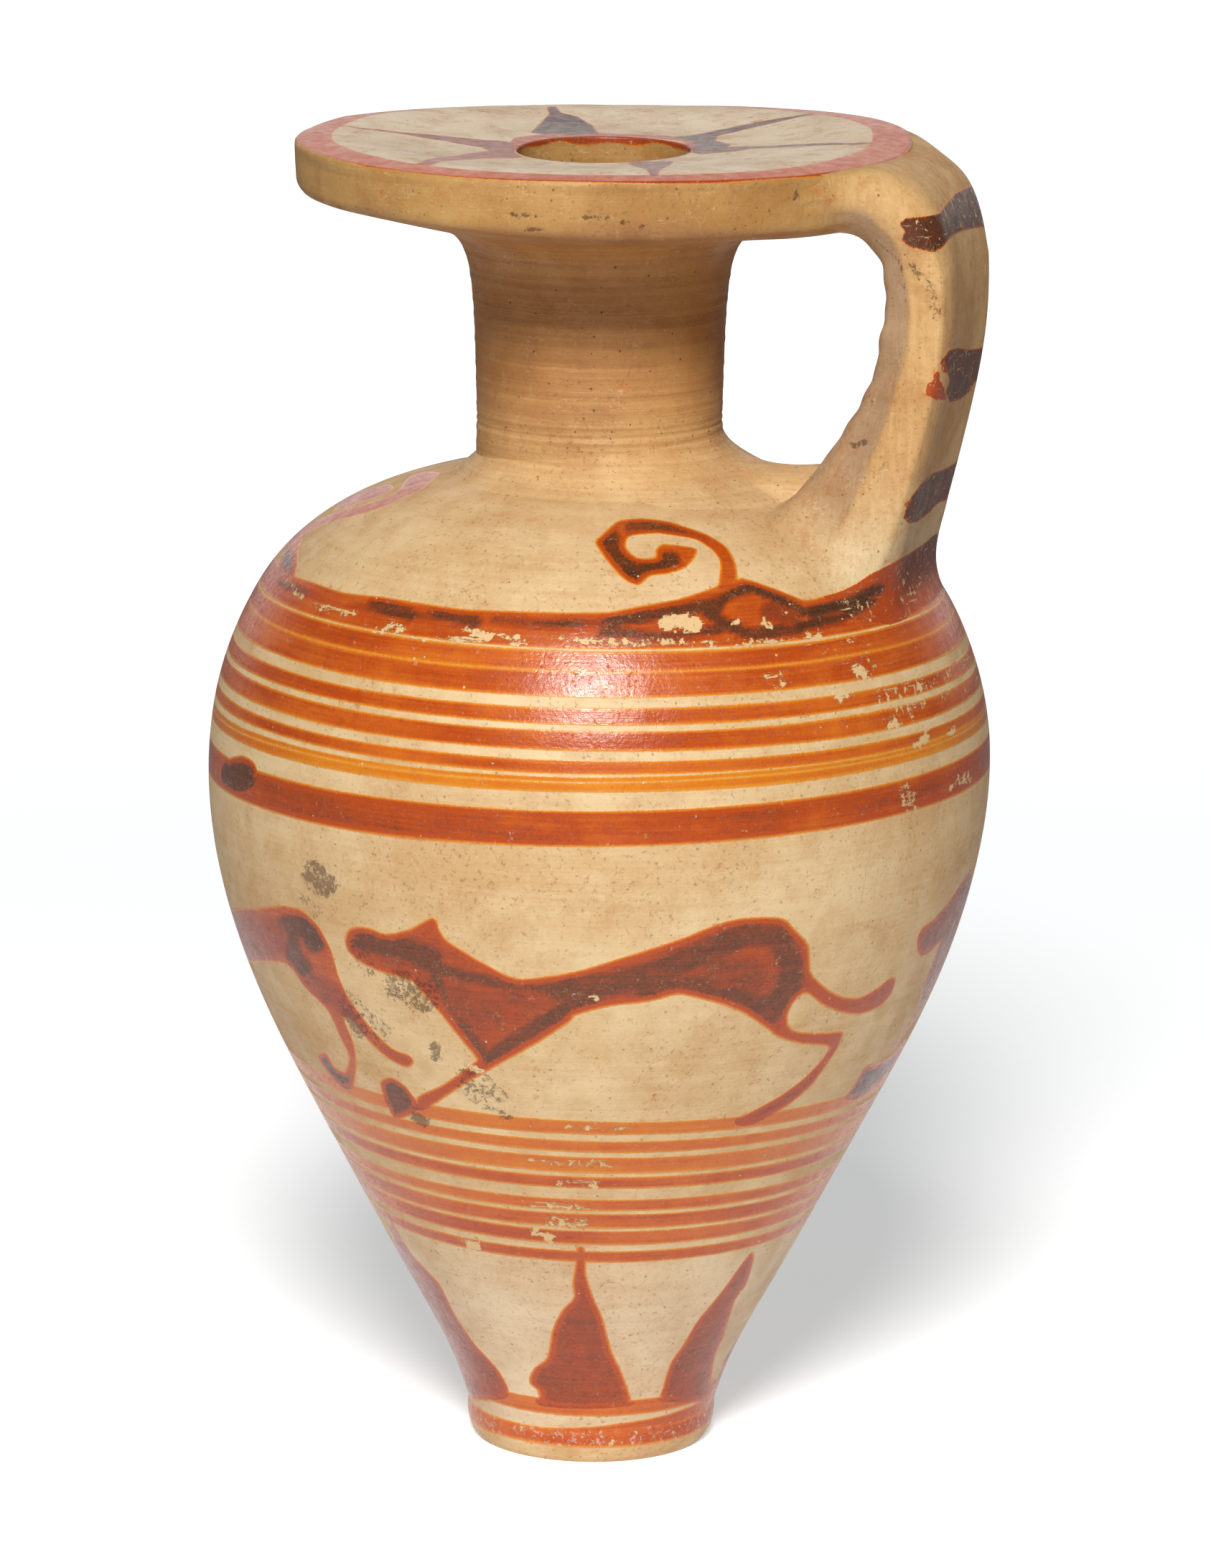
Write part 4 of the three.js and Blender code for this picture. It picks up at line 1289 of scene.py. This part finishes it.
# Handle: a strap drawn between an outer and an inner line, from the rim to the shoulder
handle = {
    "rootShare": 0.925, "rings": 150, "lumps": 0.10,
    # the strap's width at its top, half way down and at its root
    "widths": [(0, 14.6), (0.5, 11.8), (1, 13.0)],
    # half of the section, from the middle of the outer face over the side's two edges to the
    # inner face: shares of the half width and of the thickness, and how finely each part is cut
    "outerFace": [(0, 1.0), (0.5, 1.0), (0.86, 0.985), (0.975, 0.93)],
    "sideFace": [(0.975, 0.93), (1.0, 0.84), (1.0, 0.62), (0.985, 0.5)],
    "innerFace": [(0.985, 0.5), (0.81, 0.2), (0.7, 0.05), (0.48, 0.0), (0, 0)],
    "cuts": (26, 12, 30),
    # near the rim the section is rounder
    "rimOuterFace": [(0, 1.0), (0.5, 0.99), (0.82, 0.93), (0.95, 0.77)],
    "rimSideFace": [(0.95, 0.77), (0.99, 0.64), (0.99, 0.52), (0.965, 0.42)],
    "rimInnerFace": [(0.965, 0.42), (0.84, 0.2), (0.7, 0.05), (0.45, 0.0), (0, 0)],
    "rounderUntil": 0.3,
    "outerShares": [
        (0.862, 0.99), (0.925, 0.947), (0.976, 0.86), (1.0, 0.72), (0.998, 0.579),
        (0.973, 0.421), (0.935, 0.262), (0.893, 0.105)],
    "innerShares": [
        (0.775, 0.80), (0.803, 0.755), (0.812, 0.69), (0.797, 0.557),
        (0.764, 0.448), (0.71, 0.339), (0.638, 0.24)],
    # painted bars, in the photograph's pixels, with their slip's thickness; smears beside them come last
    "bars": [
        ([(1251, 312), (1262, 303), (1290, 301), (1308, 297), (1318, 284), (1330, 270), (1343, 262),
          (1360, 255), (1390, 262), (1390, 312), (1360, 318), (1340, 322), (1325, 330), (1312, 346),
          (1300, 352), (1285, 349), (1268, 345), (1255, 335), (1260, 322)], 0.9),
        ([(1311, 502), (1322, 487), (1335, 484), (1352, 487), (1390, 478), (1390, 514), (1358, 532),
          (1350, 548), (1338, 557), (1322, 562), (1317, 545), (1322, 530), (1318, 515)], 0.84),
        ([(1350, 632), (1318, 652), (1296, 660), (1284, 672), (1270, 690), (1262, 706), (1258, 722),
          (1266, 730), (1278, 728), (1296, 714), (1306, 702), (1350, 684)], 0.84),
        ([(1299, 513), (1309, 519), (1309, 530), (1315, 536), (1319, 558), (1306, 559), (1289, 550),
          (1291, 535), (1300, 529)], 0.55),
        ([(1308, 504), (1318, 498), (1322, 506), (1320, 522), (1312, 518)], 0.56),
        ([(1258, 702), (1264, 697), (1271, 700), (1269, 706), (1260, 706)], 0.4)],
    # a fold of clay, whose crease is a thin dark line of painted shade, and pits on the side face
    "marks": [([(1220, 335), (1240, 352), (1256, 372)], 4, 0.7),
              ([(1256, 372), (1260, 400), (1262, 430)], 4, 0.5),
              ([(1270, 372), (1296, 400), (1304, 440)], 14, 0.5), ([(1190, 620), (1206, 616)], 10, 0.8),
              ([(1230, 640), (1226, 668), (1200, 690), (1184, 716)], 4, 0.5),
              ([(1308, 380), (1318, 440), (1322, 480)], 6, 0.35)],
    # and on the far edge, which the camera doesn't see: height and width
    "farBars": [(70.5, 2.1), (62.1, 1.85), (55.7, 1.7)], "farFrom": 4.4, "farWrap": 5.0, "farSide": 0.8,
    # the strap's inner face gets painted shade, fading in between two shares through the strap
    "tone": 0.86, "insideShadeFrom": (0.5, 0.44), "seenAcross": 0.8, "seenThrough": 0.45, "seenUntil": 5.0,
}


def strapLine(shares):
    low = footHigh[2] + (bodyHigh[2] - footHigh[2]) * handle["rootShare"]
    points = [(strapHigh[0] * r, low + (discHigh[2] - low) * h) for r, h in shares]
    return spline(points, handle["rings"])


def strapShares(*names):
    # each point of the strap's section: across from -1 to 1, and through from inner 0 to outer 1
    parts = [spline(handle[name], cuts)[:-1] for name, cuts in zip(names, handle["cuts"])]
    half = np.concatenate([*parts, [handle[names[-1]][-1]]])
    return np.concatenate([half * [-1, 1], (half * [1, 1])[-2:0:-1]])


plainSection = strapShares("outerFace", "sideFace", "innerFace")
rimSection = strapShares("rimOuterFace", "rimSideFace", "rimInnerFace")


def fingerLumps(x, y, z):
    # small soft lumps left by the fingers
    return (np.sin(x * 0.9 + 2 * np.sin(z * 0.5)) * np.sin(y * 1.2 + z * 0.4)
            + 0.6 * np.sin(z * 1.9 + y) * np.sin(x * 1.5 + 1) + 0.4 * np.sin(z * 4.1 + y * 2))


def strapRings():
    outer, inner = strapLine(handle["outerShares"]), strapLine(handle["innerShares"])
    along = np.linspace(0, 1, handle["rings"])
    width = follow(spline(handle["widths"], 200), along)
    rings = []
    for i in range(handle["rings"]):
        rounder = max(0.0, 1 - along[i] / handle["rounderUntil"]) ** 0.7
        across, through = (plainSection + (rimSection - plainSection) * rounder).T
        at = inner[i] + (outer[i] - inner[i]) * through[:, None]
        points = np.stack([at[:, 0], across * width[i] / 2, at[:, 1]], 1)
        points[:, 0] += fingerLumps(*points.T) * handle["lumps"] * (1 - through)
        rings.append(points)
    return shaped(rings)


def paintStrap(mesh, points):
    across, through = np.tile(plainSection, (handle["rings"], 1)).T
    pixels = toPixels(points)
    seen = (across < handle["seenAcross"]) & (through > handle["seenThrough"])
    seen = seen & (points[:, 1] < handle["seenUntil"])
    painted, tone = np.full(len(points), paint["outside"]), np.full(len(points), handle["tone"])
    for outline, thickness in handle["bars"]:
        outline = np.array(outline, float)
        distance = np.where(seen, insideBy(pixels, outline, pixels, outline) * pixelSize, paint["outside"])
        tone[distance > painted] = thickness
        painted = np.maximum(painted, distance)
    for height, width in handle["farBars"]:
        bar = np.minimum(width / 2 - np.abs(points[:, 2] - height), points[:, 1] - handle["farFrom"])
        painted = np.maximum(painted, bar - handle["farWrap"] * np.maximum(handle["farSide"] - through, 0))
    # inside: painted shade on the strap's inner face
    record(mesh, figure=painted, tone=tone, inside=ramp(through, *handle["insideShadeFrom"]),
           dirt=strokeSum(pixels, handle["marks"]) * (across < 0))


handleFinish = clayFinish(
    "handleClay", [clay["handle"], clay["body"], clay["handleInsideShade"], (*disc["rimClay"], "rim")],
    ("figure", "tone", "dirt"),
    inputs={"Pits": 0.7, "Grime": 0.6, "Wheel lines": 0.15, "Blotches": 0.5, "Upright lines": 0.5},
    slipInputs={"Wear": 0.3, "Rim": 0.04, "Thin edge": 0.05, "Dull": 0.15})
strap = strapRings()
strapMesh, strapPoints = skin("strapHandle", strap, sharpRings=[0, handle["rings"] - 1])
paintStrap(strapMesh, strapPoints)
keep(strapMesh, handleFinish, "handle")


# Lutings: the strap's ends run out over the surface that carries them, like clay smeared on
luting = {
    "steps": 20, "sink": 0.03, "pull": 0.33, "settle": 0.42, "tuck": 0.25, "tuckAlong": 0.5,
    "carrierColumns": 180, "end": 1.05,
}


def carrierOf(outline, extra=None):
    # a surface on which the clay is pressed
    count = luting["carrierColumns"]
    rings = shaped(turnedRings(outline, count), extra)
    faces = [face for i in range(len(rings) - 1) for face in bridge(i * count, count, (i + 1) * count, count)]
    return BVHTree.FromPolygons(np.concatenate(rings).tolist(), faces)


def lutingRings(edge, before, carrier, aim):
    lean = (edge - before) / np.linalg.norm(edge - before, axis=1)[:, None]
    rings = np.empty((luting["steps"], *edge.shape))
    for i, (start, along) in enumerate(zip(edge, lean)):
        found, normal = (np.array(part) for part in carrier.find_nearest(Vector(aim[i]))[:2])
        end = found - normal * luting["sink"]
        chord = np.linalg.norm(end - start)
        # it leaves in line with the strap and comes in flat over what carries it
        back = (start - end) - normal * ((start - end) @ normal)
        length = np.linalg.norm(back)
        coming = end + back / max(length, 1e-6) * min(length, chord * luting["settle"])
        steps = np.linspace(0, 1, luting["steps"])[:, None]
        rings[:, i] = bezier(start, start + along * chord * luting["pull"], coming, end, steps)
    last = rings[-1]
    tucked = last + (last.mean(0) - last) * luting["tuck"] + lean.mean(0) * luting["tuckAlong"]
    return [*rings, tucked]


def alongLuting(rings, section):
    # how far along the luting each point lies, and its share through the strap
    along = np.repeat(np.linspace(0, luting["end"], len(rings)), len(section))
    return along, np.tile(section[:, 1], len(rings))


# The strap's root is drawn out over the shoulder, wider to the sides and inwards
root = {
    "sides": 10.2, "inner": 10.6, "outer": 19.25, "narrower": 0.12, "waviness": 0.3, "waves": (9, 2),
    "insideShadeFade": 1.6,  # how soon along it the painted shade of the strap's inner face is gone
    # the paint's upper edge across it, in the photograph's pixels
    "paint": [(1080, 850), (1131, 833), (1174, 818), (1225, 793), (1247, 782), (1270, 768), (1301, 747),
              (1325, 738)],
    # that edge is followed between these pixels and angles; elsewhere the body's own band goes on
    "fromPixels": (1150, 1210), "fromAngles": (10, 2), "steepness": 0.85, "plainTone": 0.5,
    "dark": [(-16, 0.56), (-10, 0.8), (24, 0.8), (32, 0.56)], "darkDepth": [(0.2, 1), (1.3, 0.9), (2.4, 0)],
    "paintFrom": 13.6, "paintSlope": 1.2,
}


def makeRoot():
    across, through = plainSection.T
    x = root["inner"] + (root["outer"] - root["inner"]) * through
    y = across * root["sides"] * (1 - root["narrower"] * through)
    y += root["waviness"] * np.sin(through * root["waves"][0] + across * root["waves"][1])
    x += (np.sqrt(np.maximum(x ** 2 - y ** 2, 4)) - x) * through ** 2  # its lower end keeps to one height
    aim = np.stack([x, y, shoulderHeight(np.hypot(x, y))], 1)
    rings = lutingRings(strap[-1], strap[-4], carrierOf(bodyFine[len(bodyFine) // 2::8]), aim)
    mesh, points = skin("rootLuting", rings, sharpRings=[0, len(rings) - 2])
    angle, pixels = angleOf(points), toPixels(points)
    below = (pixels[:, 1] - follow(root["paint"], pixels[:, 0])) * root["steepness"] * pixelSize
    seen = ramp(angle, *root["fromAngles"]) * ramp(pixels[:, 0], *root["fromPixels"])
    below = below * seen + (topEdgeHeight(angle) - points[:, 2]) * (1 - seen)
    plain = root["plainTone"]
    tone = plain + follow(root["darkDepth"], below) * (follow(root["dark"], angle) - plain)
    thicken(tone, pixels, thickSlip["shoulder"], angle < 0)
    along, through = alongLuting(rings, plainSection)
    # inside: the strap's painted inner shade, running out along the luting
    record(mesh, figure=np.minimum(below, (points[:, 0] - root["paintFrom"]) * root["paintSlope"]), tone=tone,
           inside=ramp(through, *handle["insideShadeFrom"]) * np.clip(1 - along * root["insideShadeFade"], 0, 1))
    return mesh


keep(makeRoot(), handleFinish, "handle_root_luting")


# Its top is pressed on the disc's top, round its side and a little under it
rimJoin = {
    "width": 10.6, "waviness": 0.3, "outer": 15.9, "inner": 14.4, "corner": 12.6, "low": 69.8, "high": 74.1,
    "rimClay": (1.9, 0.4),  # how soon and from where it has the rim's colour
}


def makeRimJoin():
    across, through = rimSection.T
    middle = rimJoin["inner"] + (rimJoin["outer"] - rimJoin["inner"]) * through
    aim = np.stack([
        middle + (rimJoin["corner"] - middle) * np.abs(across) ** 3,
        across * (rimJoin["width"] + rimJoin["waviness"] * np.sin(through * 11)),
        rimJoin["low"] + (rimJoin["high"] - rimJoin["low"]) * through], 1)
    rings = lutingRings(strap[0], strap[3], carrierOf(discOutline()[0][:-9], unevenRim), aim)
    mesh, _ = skin("rimLuting", [r[::-1] for r in rings], sharpRings=[0, len(rings) - 2])
    along, through = alongLuting(rings, rimSection[::-1])
    soon, start = rimJoin["rimClay"]
    # inside: the strap's painted inner shade
    record(mesh, figure=paint["outside"], tone=root["plainTone"], rim=np.clip(along * soon - start, 0, 1),
           inside=ramp(through, *handle["insideShadeFrom"]))
    return mesh


keep(makeRimJoin(), handleFinish, "handle_top_luting")
print("jar made")


# Floor and light
studio = {
    "floorSize": 3.0, "floorWhite": (0.93, 0.915, 0.91, 1.0), "floorFar": (0.42, 0.42, 0.43, 1.0),
    "floorRoughness": 0.9, "floorGloss": 0.1, "floorLift": 0.47, "farLift": 1.1,
    "glow": (0.92, 0.98, 1.0, 1.0), "mirrored": (1.0, 0.94, 0.95, 1.0), "room": (1.0, 0.88, 0.78, 1.0),
    # metres from the middle over which the floor glows more, turns grey and is left out of the gloss
    "liftReach": (0.07, 0.3), "greyReach": (0.05, 0.22), "glossReach": (0.03, 0.12),
    "world": 0.12, "backdrop": 1.1, "backdropEdge": (0.55, 0.95), "white": (1.0, 1.0, 1.0, 1.0),
}
# the lamp, in degrees from the camera and up, and in metres
lamp = {"azimuth": -4, "elevation": 39, "distance": 0.9, "size": 0.25, "power": 9.5, "target": (0, 0, 0.035)}


def seenBy(tree, *rays):
    seen = result(tree, "LightPath", {}, rays[0])
    for ray in rays[1:]:
        seen = larger(seen, result(tree, "LightPath", {}, ray))
    return seen


def makeFloor():
    mesh = bpy.data.meshes.new("floor")
    reach = studio["floorSize"]
    corners = [(x * reach, y * reach, 0) for x, y in ((-1, -1), (1, -1), (1, 1), (-1, 1))]
    mesh.from_pydata(corners, [], [(0, 1, 2, 3)])
    floor = bpy.data.objects.new("floor", mesh)
    bpy.context.scene.collection.objects.link(floor)
    material = bpy.data.materials.new("floorWhite")
    material.use_nodes = True
    tree = material.node_tree
    shader = tree.nodes["Principled BSDF"]
    here = result(tree, "TexCoord", {}, "Object")
    away = result(tree, "VectorMath", {0: here}, "Value", operation="LENGTH")
    connect(shader, {
        "Base Color": tint(ease(away, *studio["greyReach"]), studio["floorWhite"], studio["floorFar"]),
        "Roughness": studio["floorRoughness"], "Specular IOR Level": studio["floorGloss"]})
    # close to the jar its gloss shows the white floor too
    near = seenBy(tree, "Is Glossy Ray") * ease(away, *studio["glossReach"], 1.0, 0.0)
    direct = seenBy(tree, "Is Camera Ray")
    lift = ease(away, *studio["liftReach"], studio["floorLift"], studio["farLift"])
    glow = result(tree, "Emission", {
        "Color": tint(direct, studio["mirrored"], studio["glow"]), "Strength": larger(direct, near) * lift})
    both = result(tree, "AddShader", {0: Value(shader.outputs[0]), 1: glow})
    connect(tree.nodes["Material Output"], {0: both})
    mesh.materials.append(material)


def makeWorld():
    # a pale backdrop stands behind the jar; the rest of the room is dim
    world = bpy.data.worlds.new("studio")
    bpy.context.scene.world = world
    world.use_nodes = True
    tree = world.node_tree
    behind = (-math.cos(math.radians(facing)), -math.sin(math.radians(facing)), 0)
    along = alongAxis(result(tree, "TexCoord", {}, "Generated"), behind)
    glossy, direct = seenBy(tree, "Is Glossy Ray"), seenBy(tree, "Is Camera Ray", "Is Transmission Ray")
    backdrop = ease(along, *studio["backdropEdge"], studio["world"], studio["backdrop"]) * glossy
    connect(tree.nodes["Background"], {
        0: tint(larger(direct, glossy), studio["room"], studio["white"]),
        1: larger(larger(backdrop, studio["world"]), direct)})


def makeLamp():
    data = bpy.data.lights.new("softbox", "AREA")
    data.shape, data.size, data.energy = "DISK", lamp["size"], lamp["power"]
    turn, rise = math.radians(facing + lamp["azimuth"]), math.radians(lamp["elevation"])
    towards = Vector((math.cos(turn) * math.cos(rise), math.sin(turn) * math.cos(rise), math.sin(rise)))
    holder = bpy.data.objects.new("softbox", data)
    holder.location = Vector(lamp["target"]) + towards * lamp["distance"]
    holder.rotation_euler = (-towards).to_track_quat("-Z", "Y").to_euler()
    bpy.context.scene.collection.objects.link(holder)


makeFloor()
makeWorld()
makeLamp()
print("studio ready")
